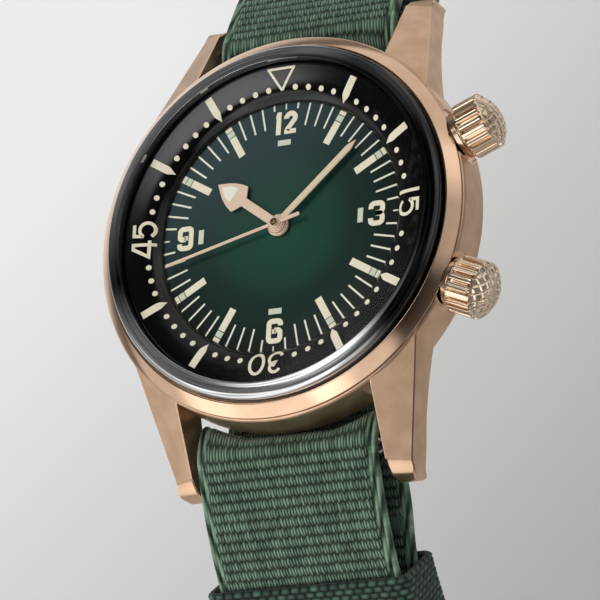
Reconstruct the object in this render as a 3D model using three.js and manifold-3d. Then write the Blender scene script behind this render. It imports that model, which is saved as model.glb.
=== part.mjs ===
// Dive watch on a woven pass-through strap, in millimetres.
// Frame: +Z is the dial normal, +Y points to 12 o'clock, +X points to 3 o'clock.
// Origin: on the hand axis, in the plane of the face that rests on the wrist.
// The model is drawn with height 0 where the bezel meets the case middle, then raised.
import * as THREE from 'three';
import { mergeVertices } from 'three/addons/utils/BufferGeometryUtils.js';
import Module from 'manifold-3d';

const wasm = await Module();
wasm.setup();

// ---------------------------------------------------------------- driving dimensions
const WRIST_FACE = -12.4;         // lower face of the strap's lower layer
const BEZEL_R = 20.85;            // outer edge of the bezel
const BEZEL_IN_R = 19.5;          // bezel's inner edge, against the crystal
const BEZEL_TOP = 1.12;
const CASE_R = 21.1;              // case band
const CASE_TOP = -0.12;
const BAND_BOTTOM = -4.6;         // lower edge of the upright case band
const CASE_BOTTOM = -7.0;
const CASE_BORE_R = 17.6;
const CRYSTAL_R = 19.3;
const CRYSTAL_TOP = 3.0;
const DIAL_Z = -0.25;             // dial face
const DIAL_T = 0.4;
const DIAL_R = 16.2;
const FLANGE_IN_R = 13.65;        // rotating inner bezel, sloping up to its rim
const FLANGE_OUT_R = 18.3;
const FLANGE_Z = 1.33;
const LUG_IN_X = 11.1;            // half of the gap between the lugs
const LUG_TIP_Y = 26.35;
const BAR_Y = 23.0;               // spring bar axis
const BAR_Z = -5.8;
const BAR_R = 0.8;
const CROWN_ANGLE = 22.2;         // crowns above and below 3 o'clock, degrees
const CROWN_Z = -2.0;
const CROWN_R = 3.0;
const CROWN_BASE = 21.4;          // distance of the crown's foot from the hand axis
const CROWN_SHOULDER = 24.6;
const CROWN_TIP = 26.1;
const CROWN_FLUTES = 20;
const STEM_R = 0.5;
const STEM_END = 24.2;            // outer end of both stems
const PINION_TEETH = 5;           // inner bezel drive
const PINION_PITCH_R = 1.458;
const RING_TEETH = 60;
const STRAP_HALF_W = 10.3;
const STRAP_T = 1.2;
const BACK_BOTTOM = -9.7;         // outer face of the case back
const MOVEMENT_R = 12.7;

// ---------------------------------------------------------------- finishes
const BRONZE = { color: 0xc79a74, roughness: 0.38, metalness: 1 };
const STEEL = { color: 0xb9bcc0, roughness: 0.3, metalness: 1 };
const BRASS = { color: 0xc9a75a, roughness: 0.35, metalness: 1 };
const RHODIUM = { color: 0xc9c9c6, roughness: 0.35, metalness: 1 };
const HAND_METAL = { color: 0xd9b08c, roughness: 0.3, metalness: 1 };
const SECONDS_METAL = { color: 0xc7946c, roughness: 0.3, metalness: 1 };
const BLUED = { color: 0x3a4a78, roughness: 0.3, metalness: 1 };
const BLACK = { color: 0x0a0b0b, roughness: 0.3, metalness: 0.1 };
const DIAL_GREEN = { color: 0x10402e, roughness: 0.3, metalness: 0.1 };
const CLEAR = { color: 0xe8f0f2, roughness: 0.03, metalness: 0 };
const RING_GREY = { color: 0xd8d8d2, roughness: 0.5, metalness: 0 };
const WEB = { color: 0x5f8a70, roughness: 0.9, metalness: 0 };
const KEEPER_WEB = { color: 0x3f6b52, roughness: 0.9, metalness: 0 };
const RUBBER = { color: 0x161616, roughness: 0.7, metalness: 0 };

// ---------------------------------------------------------------- solids
// Welds a closed geometry and makes its faces point outwards.
function solid(geometry) {
  geometry.deleteAttribute('normal');
  geometry.deleteAttribute('uv');
  const welded = mergeVertices(geometry, 1e-3);
  const positions = welded.attributes.position.array;
  const index = welded.index.array;
  const corner = (k) => new THREE.Vector3().fromArray(positions, 3 * k);
  const triangles = [];
  let volume = 0;
  for (let i = 0; i < index.length; i += 3) {
    const [a, b, c] = index.slice(i, i + 3);
    if (a === b || b === c || a === c) continue;
    triangles.push(a, b, c);
    volume += corner(a).dot(corner(b).cross(corner(c)));
  }
  if (volume < 0) {
    for (let i = 0; i < triangles.length; i += 3) {
      [triangles[i], triangles[i + 1]] = [triangles[i + 1], triangles[i]];
    }
  }
  return new wasm.Manifold(new wasm.Mesh({
    numProp: 3,
    vertProperties: new Float32Array(positions),
    triVerts: new Uint32Array(triangles),
  }));
}

const group = new THREE.Group();

function add(name, manifold, finish) {
  const { vertProperties, triVerts } = manifold.translate([0, 0, -WRIST_FACE]).getMesh();
  const geometry = new THREE.BufferGeometry();
  geometry.setAttribute('position', new THREE.BufferAttribute(vertProperties, 3));
  geometry.setIndex(new THREE.BufferAttribute(triVerts, 1));
  geometry.computeVertexNormals();
  const mesh = new THREE.Mesh(geometry, new THREE.MeshStandardMaterial(finish));
  mesh.name = name;
  group.add(mesh);
}

const join = (body, ...parts) => parts.reduce((whole, part) => whole.add(part), body);
const cut = (body, ...tools) => tools.reduce((rest, tool) => rest.subtract(tool), body);
const vectors = (points) => points.map(([x, y]) => new THREE.Vector2(x, y));

// a profile of [radius, height] points turned about Z
const turned = (points, segments) =>
  solid(new THREE.LatheGeometry(vectors(points), segments).rotateX(Math.PI / 2));
// the same for a profile that closes on itself
const turnedRing = (points, segments) => turned([...points, points[0]], segments);
// a ring of rectangular section
const hoop = (r0, r1, z0, z1, segments) =>
  turnedRing([[r0, z0], [r1, z0], [r1, z1], [r0, z1]], segments);
const rod = (radius, z0, z1, sides, x = 0, y = 0) =>
  turned([[0, z0], [radius, z0], [radius, z1], [0, z1]], sides).translate([x, y, 0]);

function extruded(points, depth, holes = []) {
  const shape = new THREE.Shape(vectors(points));
  shape.holes = holes.map((hole) => new THREE.Path(vectors(hole)));
  return new THREE.ExtrudeGeometry(shape, { depth, bevelEnabled: false });
}
// a flat outline in X and Y raised from z0 to z1, with optional holes
const plate = (points, z0, z1, holes) =>
  solid(extruded(points, z1 - z0, holes).translate(0, 0, z0));
// an outline in Y and Z drawn out along X
function sideways(points, x0, x1) {
  const turn = new THREE.Matrix4().set(0, 0, 1, x0, 1, 0, 0, 0, 0, 1, 0, 0, 0, 0, 0, 1);
  return solid(extruded(points, x1 - x0).applyMatrix4(turn));
}
function block(x0, x1, y0, y1, z0, z1) {
  const box = new THREE.BoxGeometry(x1 - x0, y1 - y0, z1 - z0);
  return solid(box.translate((x0 + x1) / 2, (y0 + y1) / 2, (z0 + z1) / 2));
}

const Z_TO_X = new THREE.Matrix4().set(0, 0, 1, 0, 0, 1, 0, 0, -1, 0, 0, 0, 0, 0, 0, 1);
const alongX = (body) => body.transform(Z_TO_X.elements);
// carries a solid turned about Z onto a crown axis at an angle in the dial plane
function radial(body, degrees) {
  const turn = new THREE.Matrix4().makeRotationZ(rad(degrees)).multiply(Z_TO_X);
  turn.setPosition(0, 0, CROWN_Z);
  return body.transform(turn.elements);
}
const mirrorX = (body) => body.mirror([1, 0, 0]);
const mirrorY = (body) => body.mirror([0, 1, 0]);

// ---------------------------------------------------------------- outlines
function rad(degrees) {
  return (degrees * Math.PI) / 180;
}
const deg = (radians) => (radians * 180) / Math.PI;
const polar = (radius, degrees, [x, y] = [0, 0]) =>
  [x + radius * Math.cos(rad(degrees)), y + radius * Math.sin(rad(degrees))];
const arc = (radius, from, to, steps, centre) => Array.from({ length: steps + 1 }, (_, i) =>
  polar(radius, from + ((to - from) * i) / steps, centre));
const circle = (radius, count, centre) => arc(radius, 0, 360, count, centre).slice(0, -1);

// a spur gear outline with loose pointed teeth; addendum and dedendum in modules
function gear(teeth, module_, { phase = 0, addendum = 0.6, dedendum = 1.25 } = {}) {
  const pitchRadius = (teeth * module_) / 2;
  const step = 360 / teeth;
  const outline = [];
  for (let i = 0; i < teeth; i++) {
    outline.push(
      polar(pitchRadius + addendum * module_, phase + i * step),
      polar(pitchRadius - dedendum * module_, phase + (i + 0.5) * step),
    );
  }
  return outline;
}

// the openings between the arms of a wheel, from the hub radius to the rim radius
const ARM_WIDTH = 0.5;
function armOpenings(count, hub, rim) {
  const step = 360 / count;
  const hubInset = deg(Math.asin(ARM_WIDTH / 2 / hub));
  const rimInset = deg(Math.asin(ARM_WIDTH / 2 / rim));
  return Array.from({ length: count }, (_, i) => [
    ...arc(rim, i * step + rimInset, (i + 1) * step - rimInset, 3),
    ...arc(hub, (i + 1) * step - hubInset, i * step + hubInset, 1),
  ]);
}

// ---------------------------------------------------------------- case
// [x, y] of the lug at 12 o'clock on the +X side
const lugPlan = [
  [8, 8], [LUG_IN_X, 8], [17.5, 8], [16.1, 14], [15.18, 18], [14.26, 22], [13.62, 24.8],
  [13.66, 25.7], [13.3, LUG_TIP_Y], [LUG_IN_X, LUG_TIP_Y], [LUG_IN_X, 14], [8, 14],
];
// [y, z] of the same lug
const lugSide = [
  [6, CASE_TOP], [17.9, CASE_TOP], [24.0, -3.9], [25.1, -4.8], [25.75, -5.72], [26.15, -6.6],
  [LUG_TIP_Y, -7.7], [26.2, -8.9], [25.6, -9.25], [24.4, -8.8], [22.5, -7.9], [20.5, -6.8],
  [18, -5.75], [15, -4.85], [12, -4.25], [6, -4.0],
];
// the top face of a lug is one plane, sloping down outwards and towards the tip
const LUG_TOP = { normal: [-0.399, -0.4725, -0.7856], offset: -12.654 };

function caseMiddle() {
  const lug = plate(lugPlan, -10, 1)
    .intersect(sideways(lugSide, 5, 22))
    .trimByPlane(LUG_TOP.normal, LUG_TOP.offset);
  const band = turned([
    [0, CASE_BOTTOM], [18.7, CASE_BOTTOM], [20.6, BAND_BOTTOM - 0.6], [CASE_R, BAND_BOTTOM],
    [CASE_R, CASE_TOP - 0.28], [CASE_R - 0.25, CASE_TOP], [0, CASE_TOP],
  ], 60);
  let body = cut(
    join(band, lug, mirrorX(lug), mirrorY(lug), mirrorX(mirrorY(lug))),
    rod(CASE_BORE_R, -8, 1, 48),
    rod(18.95, -0.95, 1, 48),
    hoop(19.85, 20.45, -0.8, 0.5, 48),   // groove for the bezel's skirt
  );
  for (const side of [1, -1]) {
    const barHole = circle(0.52, 8, [side * BAR_Y, BAR_Z]);
    body = cut(
      body,
      radial(rod(3.2, 20.7, 30, 24), side * CROWN_ANGLE),   // crown seat
      radial(rod(1.3, 15, 22, 16), side * CROWN_ANGLE),     // crown tube bore
      sideways(barHole, 10.5, 12.9),
      sideways(barHole, -12.9, -10.5),
    );
  }
  // pocket for the inner bezel's pinion
  return body.subtract(radial(rod(1.85, 15, 19.15, 16), CROWN_ANGLE));
}
add('case_middle', caseMiddle(), BRONZE);

add('bezel_ring', turnedRing([
  [19.95, -0.7], [20.35, -0.7], [20.35, 0], [BEZEL_R, 0], [BEZEL_R, 0.1], [19.66, BEZEL_TOP],
  [BEZEL_IN_R, BEZEL_TOP - 0.04], [BEZEL_IN_R, 0], [19.95, 0],
], 48), BRONZE);
add('crystal', turnedRing([
  [18.4, 0.45], [CRYSTAL_R, 0.45], [CRYSTAL_R, 1.9], [19.05, 2.2], [18.1, 2.42], [11, 2.82],
  [0, CRYSTAL_TOP], [0, 2.1], [11, 1.95], [17.6, 1.66], [18.4, 1.3],
], 40), CLEAR);
add('crystal_gasket', hoop(18.5, CRYSTAL_R, 0.08, 0.38, 32), RUBBER);

// case back: domed cover, threaded skirt and key notches
const KEY_NOTCHES = 6;
let caseBack = turned([
  [0, -7.6], [16.7, -7.6], [16.7, -6.0], [17.5, -6.0], [17.5, -7.06], [18.3, -7.06],
  [18.3, -7.7], [17.2, -8.6], [15.4, BACK_BOTTOM], [0, BACK_BOTTOM],
], 40);
for (let i = 0; i < KEY_NOTCHES; i++) {
  const notch = block(15.8, 19, -0.9, 0.9, -12, -8.35);
  caseBack = caseBack.subtract(notch.rotate([0, 0, (360 / KEY_NOTCHES) * (i + 0.5)]));
}
add('case_back', caseBack, BRONZE);
add('case_back_gasket', hoop(16.8, 17.35, -5.9, -5.6, 28), RUBBER);

// ---------------------------------------------------------------- dial side
// The underside carries face teeth: alternate stations of the turned ring are pulled down.
function innerBezel() {
  const TOOTH_ROOT_Z = -0.33;
  const TOOTH_TIP_Z = -0.66;
  const profile = [
    [FLANGE_IN_R, -0.13], [14.05, 0.4], [14.6, 0.78], [15.5, 1.05], [17.4, FLANGE_Z],
    [FLANGE_OUT_R, 1.0], [FLANGE_OUT_R, TOOTH_ROOT_Z], [16.7, TOOTH_ROOT_Z], [16.7, -0.13],
    [FLANGE_IN_R, -0.13],
  ];
  const geometry = new THREE.LatheGeometry(vectors(profile), 2 * RING_TEETH);
  geometry.rotateX(Math.PI / 2);
  const position = geometry.attributes.position;
  for (let i = 0; i < position.count; i++) {
    const station = Math.floor(i / profile.length);
    const onToothFace = profile[i % profile.length][1] === TOOTH_ROOT_Z;
    if (station % 2 === 1 && onToothFace) position.setZ(i, TOOTH_TIP_Z);
  }
  return solid(geometry).rotate([0, 0, CROWN_ANGLE]);
}
add('inner_bezel', innerBezel(), BLACK);
add('dial', plate(circle(DIAL_R, 48), DIAL_Z - DIAL_T, DIAL_Z, [circle(1.15, 16)]), DIAL_GREEN);

// Hands are drawn pointing to 12, then turned clockwise by the given degrees.
// hub and bore are [radius, sides]; outlines are [x, y].
const HANDS = [
  {
    name: 'hour_hand', clockwise: -53.5, z0: 0.1, z1: 0.26, hub: [1.35, 16], bore: [0.95, 14],
    finish: HAND_METAL,
    outline: [
      [-0.5, 0.8], [0.5, 0.8], [0.5, 5.15], [1.6, 5.8], [1.38, 6.8], [0.85, 7.95],
      [0, 9.1], [-0.85, 7.95], [-1.38, 6.8], [-1.6, 5.8], [-0.5, 5.15],
    ],
  },
  {
    name: 'minute_hand', clockwise: 47.3, z0: 0.45, z1: 0.6, hub: [1, 16], bore: [0.54, 12],
    finish: HAND_METAL,
    outline: [[-0.36, 0.6], [0.36, 0.6], [0.38, 10.8], [0, 12], [-0.38, 10.8]],
  },
  {
    name: 'seconds_hand', clockwise: -104.2, z0: 0.8, z1: 0.92, hub: [0.72, 14],
    bore: [0.21, 10], finish: SECONDS_METAL,
    outline: [[-0.17, -2.9], [0.17, -2.9], [0.17, 13.1], [-0.17, 13.1]],
  },
];
for (const { name, clockwise, z0, z1, hub, bore, finish, outline } of HANDS) {
  const blade = plate(outline, z0, z1).add(plate(circle(...hub), z0, z1));
  const hand = blade.subtract(rod(bore[0], -1, 2, bore[1]));
  add(name, hand.rotate([0, 0, -clockwise]), finish);
}

// motion work in a recess of the main plate
const MINUTE_MODULE = 0.15;
const HOUR_MODULE = 0.16;
const HALF_TOOTH = 7.5;           // half the pitch of a 24-tooth wheel, degrees
const minuteWheelAt = [2.4, 0];
add('cannon_pinion', plate(gear(8, MINUTE_MODULE), -1.62, -1.34)
  .add(rod(0.47, -1.34, 0.68, 12))
  .subtract(rod(0.26, -3, 2, 8)), STEEL);
add('hour_wheel', plate(gear(24, HOUR_MODULE, { phase: HALF_TOOTH }), -1.28, -1.06)
  .add(rod(0.87, -1.06, 0.34, 16))
  .subtract(rod(0.57, -3, 2, 12)), BRASS);
add('minute_wheel', plate(gear(24, MINUTE_MODULE, { phase: HALF_TOOTH }), -1.6, -1.36)
  .add(plate(gear(6, HOUR_MODULE), -1.36, -1.06))
  .add(rod(0.2, -2.1, -1.5, 8))
  .translate([...minuteWheelAt, 0]), BRASS);

// ---------------------------------------------------------------- going train layout
// Each wheel's pitch radius and teeth, teeth of the pinion it drives, and the radii
// between which its arms are cut out.
const TRAIN = {
  barrel: { radius: 4.8, teeth: 36, pinionTeeth: 6 },
  great: { radius: 3.9, teeth: 45, pinionTeeth: 6, hub: 1.3, rim: 3.2 },
  third: { radius: 3.52, teeth: 48, pinionTeeth: 6, hub: 1.1, rim: 2.9 },
  fourth: { radius: 3.0, teeth: 50, pinionTeeth: 5, hub: 0.9, rim: 2.45 },
};
const moduleOf = (spec) => (2 * spec.radius) / spec.teeth;
const reach = (spec) => spec.radius + (spec.pinionTeeth * moduleOf(spec)) / 2;
const direction = (from, to) => deg(Math.atan2(to[1] - from[1], to[0] - from[0]));

const centreAt = [0, 0];
const barrelAt = [-5.3, 5.45];
const greatAt = polar(reach(TRAIN.barrel), -8, barrelAt);
// the third wheel meshes with the great wheel and with the pinion on the hand axis
const greatDistance = Math.hypot(...greatAt);
const thirdDistance = reach(TRAIN.third);
const thirdCosine = (thirdDistance ** 2 + greatDistance ** 2 - reach(TRAIN.great) ** 2)
  / (2 * thirdDistance * greatDistance);
const thirdAngle = direction(centreAt, greatAt) - deg(Math.acos(thirdCosine));
const thirdAt = polar(thirdDistance, thirdAngle);
const escapeAt = polar(reach(TRAIN.fourth), -75);
const palletAt = polar(2.75, -95, escapeAt);
const balanceAt = polar(2.9, -92, palletAt);

const ARBOR_BACK = -4.85;         // ends of the train arbors
const ARBOR_FRONT = -2.4;
const arbor = (z0 = ARBOR_BACK, z1 = ARBOR_FRONT, radius = 0.14) => rod(radius, z0, z1, 6);
function trainWheel(spec, z0, z1) {
  const openings = spec.hub ? armOpenings(4, spec.hub, spec.rim) : [];
  return plate(gear(spec.teeth, moduleOf(spec)), z0, z1, openings);
}
// the pinion a wheel drives, with a gap facing the tooth the wheel points at it
function drivenPinion(driver, driverAt, pinionAt, z0, z1) {
  const { teeth, pinionTeeth } = driver;
  const heading = direction(driverAt, pinionAt);
  const step = 360 / teeth;
  const lead = ((heading % step) + step) % step;
  const phase = heading + 180 + (lead * teeth) / pinionTeeth + 180 / pinionTeeth;
  return plate(gear(pinionTeeth, moduleOf(driver), { phase }), z0, z1);
}

// ---------------------------------------------------------------- movement
const PLATE_BACK = -2.9;
const PLATE_FRONT = -0.8;
const RECESS_Z = -1.75;           // floor of the motion work recess
const mainPlate = cut(
  rod(MOVEMENT_R, PLATE_BACK, PLATE_FRONT, 32),
  rod(2.35, RECESS_Z, 0, 20),
  rod(2.15, RECESS_Z, 0, 20, ...minuteWheelAt),
  rod(0.75, -4, 0, 10),
  rod(0.27, -4, 0, 8, ...minuteWheelAt),
  rod(4.75, -4, -1.95, 28, ...barrelAt),   // seat of the mainspring barrel
  ...[greatAt, thirdAt, escapeAt, palletAt, balanceAt].map((at) => rod(0.22, -4, 0, 6, ...at)),
  radial(rod(0.72, 7.6, 20, 12), -CROWN_ANGLE),   // stem bore
);
add('main_plate', mainPlate, RHODIUM);

add('barrel', trainWheel(TRAIN.barrel, -3.22, -3.0)
  .add(rod(4.45, -3.0, -2.05, 28))
  .add(arbor(ARBOR_BACK, -3.1, 0.16))
  .translate([...barrelAt, 0]), BRASS);
add('great_wheel', trainWheel(TRAIN.great, -3.85, -3.65)
  .add(drivenPinion(TRAIN.barrel, barrelAt, greatAt, -3.65, -2.96))
  .add(arbor())
  .translate([...greatAt, 0]), BRASS);
add('third_wheel', trainWheel(TRAIN.third, -4.3, -4.12)
  .add(drivenPinion(TRAIN.great, greatAt, thirdAt, -4.12, -3.55))
  .add(arbor())
  .translate([...thirdAt, 0]), BRASS);
add('fourth_wheel', trainWheel(TRAIN.fourth, -3.48, -3.3)
  .add(drivenPinion(TRAIN.third, thirdAt, centreAt, -4.4, -3.48))
  .add(arbor(ARBOR_BACK, 1.12, 0.17))
  .add(rod(0.42, 0.95, 1.2, 12)), BRASS);

const ESCAPE_TEETH = 20;
const escapeOutline = [];
for (let i = 0; i < ESCAPE_TEETH; i++) {
  for (const [radius, offset] of [[1.45, 0], [2.05, 13], [2.05, 15]]) {
    escapeOutline.push(polar(radius, (360 / ESCAPE_TEETH) * i + offset));
  }
}
add('escape_wheel', plate(escapeOutline, -3.95, -3.8)
  .add(drivenPinion(TRAIN.fourth, centreAt, escapeAt, -3.8, -3.2))
  .add(arbor(ARBOR_BACK, ARBOR_FRONT, 0.12))
  .translate([...escapeAt, 0]), STEEL);

// [x, y] about the pallet arbor, with the lever pointing down Y
const forkOutline = [
  [-0.16, -1.9], [0.16, -1.9], [0.16, -0.2], [1.25, 0.1], [1.25, 0.42], [0, 0.28],
  [-1.25, 0.42], [-1.25, 0.1], [-0.16, -0.2],
];
add('pallet_fork', plate(forkOutline, -4.22, -4.05)
  .add(arbor(-4.6, ARBOR_FRONT, 0.13))
  .rotate([0, 0, direction(palletAt, balanceAt) + 90])
  .translate([...palletAt, 0]), STEEL);
add('balance_wheel', plate(circle(3.9, 24), -4.62, -4.4, armOpenings(3, 0.6, 3.35))
  .add(arbor(-5.2, ARBOR_FRONT, 0.13))
  .translate([...balanceAt, 0]), BRASS);
// one edge of the balance spring: two and a half turns in 30 degree steps
const springEdge = (offset) => Array.from({ length: 31 }, (_, i) =>
  polar(0.45 + 0.06 * i + offset, 30 * i));
const springOutline = [...springEdge(0.03), ...springEdge(-0.03).reverse()];
add('balance_spring', plate(springOutline, -4.9, -4.72).translate([...balanceAt, 0]), BLUED);

function balanceCock() {
  const [x, y] = balanceAt;
  const arm = [[x - 0.9, y + 1], [x - 0.9, y - 0.6], [x + 3.6, -12.05], [x + 5.6, -11.2],
    [x + 1, y + 1]];
  const foot = [[4.5, -11.5], [5.8, -10.9], [5.2, -9.9], [4.2, -10.9]];
  return plate(arm, -5.3, -5.02)
    .add(plate(foot, -5.3, -2.95))
    .subtract(rod(0.22, -6, -4, 6, x, y));
}
add('balance_cock', balanceCock(), RHODIUM);

const PILLARS = [[-11.1, 1.0], [11.0, 2.6], [3.4, 10.9]];
const trainBridge = cut(
  rod(12.2, -5.15, -4.75, 32),
  block(-14, 14, -14, -3.9, -6, -4),
  rod(4.6, -6, -4, 20, ...balanceAt),
  ...[barrelAt, greatAt, thirdAt, escapeAt, centreAt].map((at) => rod(0.26, -6, -4, 6, ...at)),
);
const pillars = PILLARS.map((at) => rod(0.7, -4.8, -2.95, 12, ...at));
add('train_bridge', join(trainBridge, ...pillars), RHODIUM);
const windingOutline = [[-3.2, -2.0], [3.2, -2.0], [3.6, 2.4], [0, 3.6], [-3.6, 2.4]];
add('winding_bridge', plate(windingOutline, -5.62, -5.2)
  .add(rod(1, -6.05, -5.62, 24)), RHODIUM);

// winding rotor: half disc with a heavy rim, turning on its bearing boss
const rotorOutline = [
  ...arc(12.3, -90, 90, 12),
  [-0.9, 1.9], [-1.9, 0.8], [-1.9, -0.8], [-0.9, -1.9],
];
const rimOutline = [...arc(12.28, -88, 87.2, 12), ...arc(10.3, 87.2, -88, 12)];
add('rotor', plate(rotorOutline, -6.3, -6.08)
  .add(plate(rimOutline, -6.9, -6.25))
  .subtract(rod(0.62, -8, -5, 20)), RHODIUM);
add('rotor_screw', rod(1.15, -6.62, -6.36, 24)
  .add(rod(0.54, -6.4, -6.1, 16))
  .subtract(block(-2, 2, -0.12, 0.12, -7, -6.5)), STEEL);

const CLAMP_ANGLES = [150, 330];
const CLAMP_SCREW_AT = 13.9;      // distance from the hand axis
const CLAMP_HOLE_R = 0.36;
add('movement_ring', cut(
  hoop(12.95, 16.4, -4.95, -0.75, 32),
  radial(rod(0.8, 10, 18, 16), -CROWN_ANGLE),
  radial(rod(0.8, 15.9, 18, 16), CROWN_ANGLE),
  ...CLAMP_ANGLES.map((angle) =>
    rod(CLAMP_HOLE_R, -5.5, -3.4, 10, ...polar(CLAMP_SCREW_AT, angle))),
), RING_GREY);
CLAMP_ANGLES.forEach((angle, i) => {
  const clamp = block(11.6, 15.4, -0.8, 0.8, -5.45, -5.2)
    .subtract(rod(CLAMP_HOLE_R, -6, -5, 10, CLAMP_SCREW_AT));
  const screw = rod(0.6, -5.72, -5.5, 16, CLAMP_SCREW_AT)
    .add(rod(0.3, -5.55, -3.6, 10, CLAMP_SCREW_AT));
  add(`movement_clamp_${i + 1}`, clamp.rotate([0, 0, angle]), STEEL);
  add(`clamp_screw_${i + 1}`, screw.rotate([0, 0, angle]), STEEL);
});

// ---------------------------------------------------------------- crowns, stems, tubes, seals
// Drawn along Z, with height as the distance from the hand axis.
function crown() {
  const step = 360 / CROWN_FLUTES;
  const flutes = [];
  for (let i = 0; i < CROWN_FLUTES; i++) {
    flutes.push(
      polar(CROWN_R, step * (i - 0.22)),
      polar(CROWN_R, step * (i + 0.22)),
      polar(CROWN_R - 0.26, step * (i + 0.5)),
    );
  }
  const domeR = CROWN_R - 0.02;
  const dome = [[0, CROWN_SHOULDER - 0.05], [domeR, CROWN_SHOULDER - 0.05]];
  for (let k = 0; k < 4; k++) {
    const angle = rad(22.5 * k);
    const rise = (CROWN_TIP - CROWN_SHOULDER) * Math.sin(angle);
    dome.push([domeR * Math.cos(angle) ** 0.8, CROWN_SHOULDER + rise]);
  }
  dome.push([0, CROWN_TIP]);
  return plate(flutes, CROWN_BASE, CROWN_SHOULDER)
    .add(turned(dome, 24))
    .subtract(rod(1.95, 20, 23.5, 18))
    .subtract(rod(0.58, 23, 24.3, 10));
}
function crownTube(from) {
  return turnedRing([[0.66, from], [1.24, from], [1.22, 22.7], [0.66, 22.7]], 16);
}
for (const [name, angle, tubeFrom] of [
  ['time', -CROWN_ANGLE, 16.9],
  ['bezel', CROWN_ANGLE, 19.3],
]) {
  add(`${name}_crown`, radial(crown(), angle), BRONZE);
  add(`${name}_crown_tube`, radial(crownTube(tubeFrom), angle), STEEL);
  add(`${name}_crown_seal`, radial(hoop(1.34, 1.84, 22.1, 22.6, 16), angle), RUBBER);
}
add('winding_stem', radial(rod(STEM_R, 8.1, STEM_END, 12), -CROWN_ANGLE), STEEL);
const pinionOutline = gear(PINION_TEETH, (PINION_PITCH_R * 2) / PINION_TEETH,
  { phase: 180, addendum: 0.24, dedendum: 0.55 });
const bezelStem = rod(STEM_R, 17.9, STEM_END, 12).add(plate(pinionOutline, 16.85, 18));
add('bezel_crown_stem', radial(bezelStem, CROWN_ANGLE), STEEL);

// ---------------------------------------------------------------- spring bars
const barTube = alongX(hoop(0.54, BAR_R, -9.85, 9.85, 14));
const barTip = alongX(turned([
  [0, 9], [0.46, 9], [0.46, 10.74], [0.72, 10.74], [0.72, 11], [0.42, 11], [0.42, 11.95],
  [0, 11.95],
], 12));
for (const [hour, side] of [['12', 1], ['6', -1]]) {
  const axis = [0, side * BAR_Y, BAR_Z];
  add(`spring_bar_${hour}`, barTube.translate(axis), STEEL);
  add(`bar_tip_${hour}_right`, barTip.translate(axis), STEEL);
  add(`bar_tip_${hour}_left`, mirrorX(barTip).translate(axis), STEEL);
}

// ---------------------------------------------------------------- strap paths
// The band leaves the top of each spring bar and bends down round the wrist.
// Slopes are degrees below level; each run is [length, slope at its end].
const HALF_T = STRAP_T / 2;
const WRAP_R = BAR_R + 0.15 + HALF_T;
const LEAVE_SLOPE = 20;
function strapPath(runs) {
  let [y, z] = polar(WRAP_R, 90 - LEAVE_SLOPE, [BAR_Y, BAR_Z]);
  let slope = LEAVE_SLOPE;
  let along = 0;
  const path = [{ along, y, z, slope }];
  for (const [length, endSlope] of runs) {
    const startSlope = slope;
    const turn = endSlope - startSlope;
    const steps = Math.max(1, Math.round(Math.max(Math.abs(turn) / 6, length / 40)));
    for (let i = 1; i <= steps; i++) {
      const nextSlope = startSlope + (turn * i) / steps;
      const middle = rad((slope + nextSlope) / 2);
      y += (length / steps) * Math.cos(middle);
      z -= (length / steps) * Math.sin(middle);
      along += length / steps;
      slope = nextSlope;
      path.push({ along, y, z, slope });
    }
  }
  return path;
}
const bucklePath = strapPath([[20, 46], [26, 60], [26, 80]]);
const tailPath = strapPath([[20, 46], [30, 76], [42, 84], [26, 84]]);

function stationAt(path, along) {
  const i = path.findIndex((station, k) => k > 0 && along <= station.along);
  const [before, after] = [path[i - 1], path[i]];
  const share = (along - before.along) / (after.along - before.along);
  const mix = (key) => before[key] + (after[key] - before[key]) * share;
  return { along, y: mix('y'), z: mix('z'), slope: mix('slope') };
}
// outline of a band between two offsets from the path (positive is the outer side),
// both moved by shift, a function of the distance along the path
function bandOutline(path, from, to, lower, upper, shift = () => 0) {
  const stations = [
    stationAt(path, from),
    ...path.filter(({ along }) => along > from + 0.4 && along < to - 0.4),
    stationAt(path, to),
  ];
  const edge = (offset) => stations.map(({ along, y, z, slope }) => {
    const distance = offset + shift(along);
    return [y + distance * Math.sin(rad(slope)), z + distance * Math.cos(rad(slope))];
  });
  return [...edge(upper), ...edge(lower).reverse()];
}
// outline of a polyline with thickness
function thickLine(line, thickness) {
  const edge = (offset) => line.map(([x, y], i) => {
    const before = line[Math.max(0, i - 1)];
    const after = line[Math.min(line.length - 1, i + 1)];
    const [dx, dy] = [after[0] - before[0], after[1] - before[1]];
    const length = Math.hypot(dx, dy);
    return [x - (dy / length) * offset, y + (dx / length) * offset];
  });
  return [...edge(thickness / 2), ...edge(-thickness / 2).reverse()];
}
// carries a solid drawn about the origin (X across, Y along, Z outwards) to a station
function placed(body, { y, z, slope }) {
  const c = Math.cos(rad(slope));
  const s = Math.sin(rad(slope));
  const move = new THREE.Matrix4().set(1, 0, 0, 0, 0, c, s, y, 0, -s, c, z, 0, 0, 0, 1);
  return body.transform(move.elements);
}
// an outline drawn out over the strap's width
const acrossStrap = (outline, inset = 0) =>
  sideways(outline, inset - STRAP_HALF_W, STRAP_HALF_W - inset);
// pieces drawn on the 12 o'clock side, carried to the 6 o'clock side
const toSix = (body) => body.rotate([0, 0, 180]);

// the band and its turn over the spring bar, as one outline
function wrappedBand(path, end) {
  const wrapEnd = 90 - LEAVE_SLOPE + 9;
  const centre = [BAR_Y, BAR_Z];
  return acrossStrap([
    ...arc(WRAP_R + HALF_T, 128, wrapEnd, 5, centre),
    ...bandOutline(path, 0, end, -HALF_T, HALF_T),
    ...arc(WRAP_R - HALF_T, wrapEnd, 128, 5, centre),
  ]);
}

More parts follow.
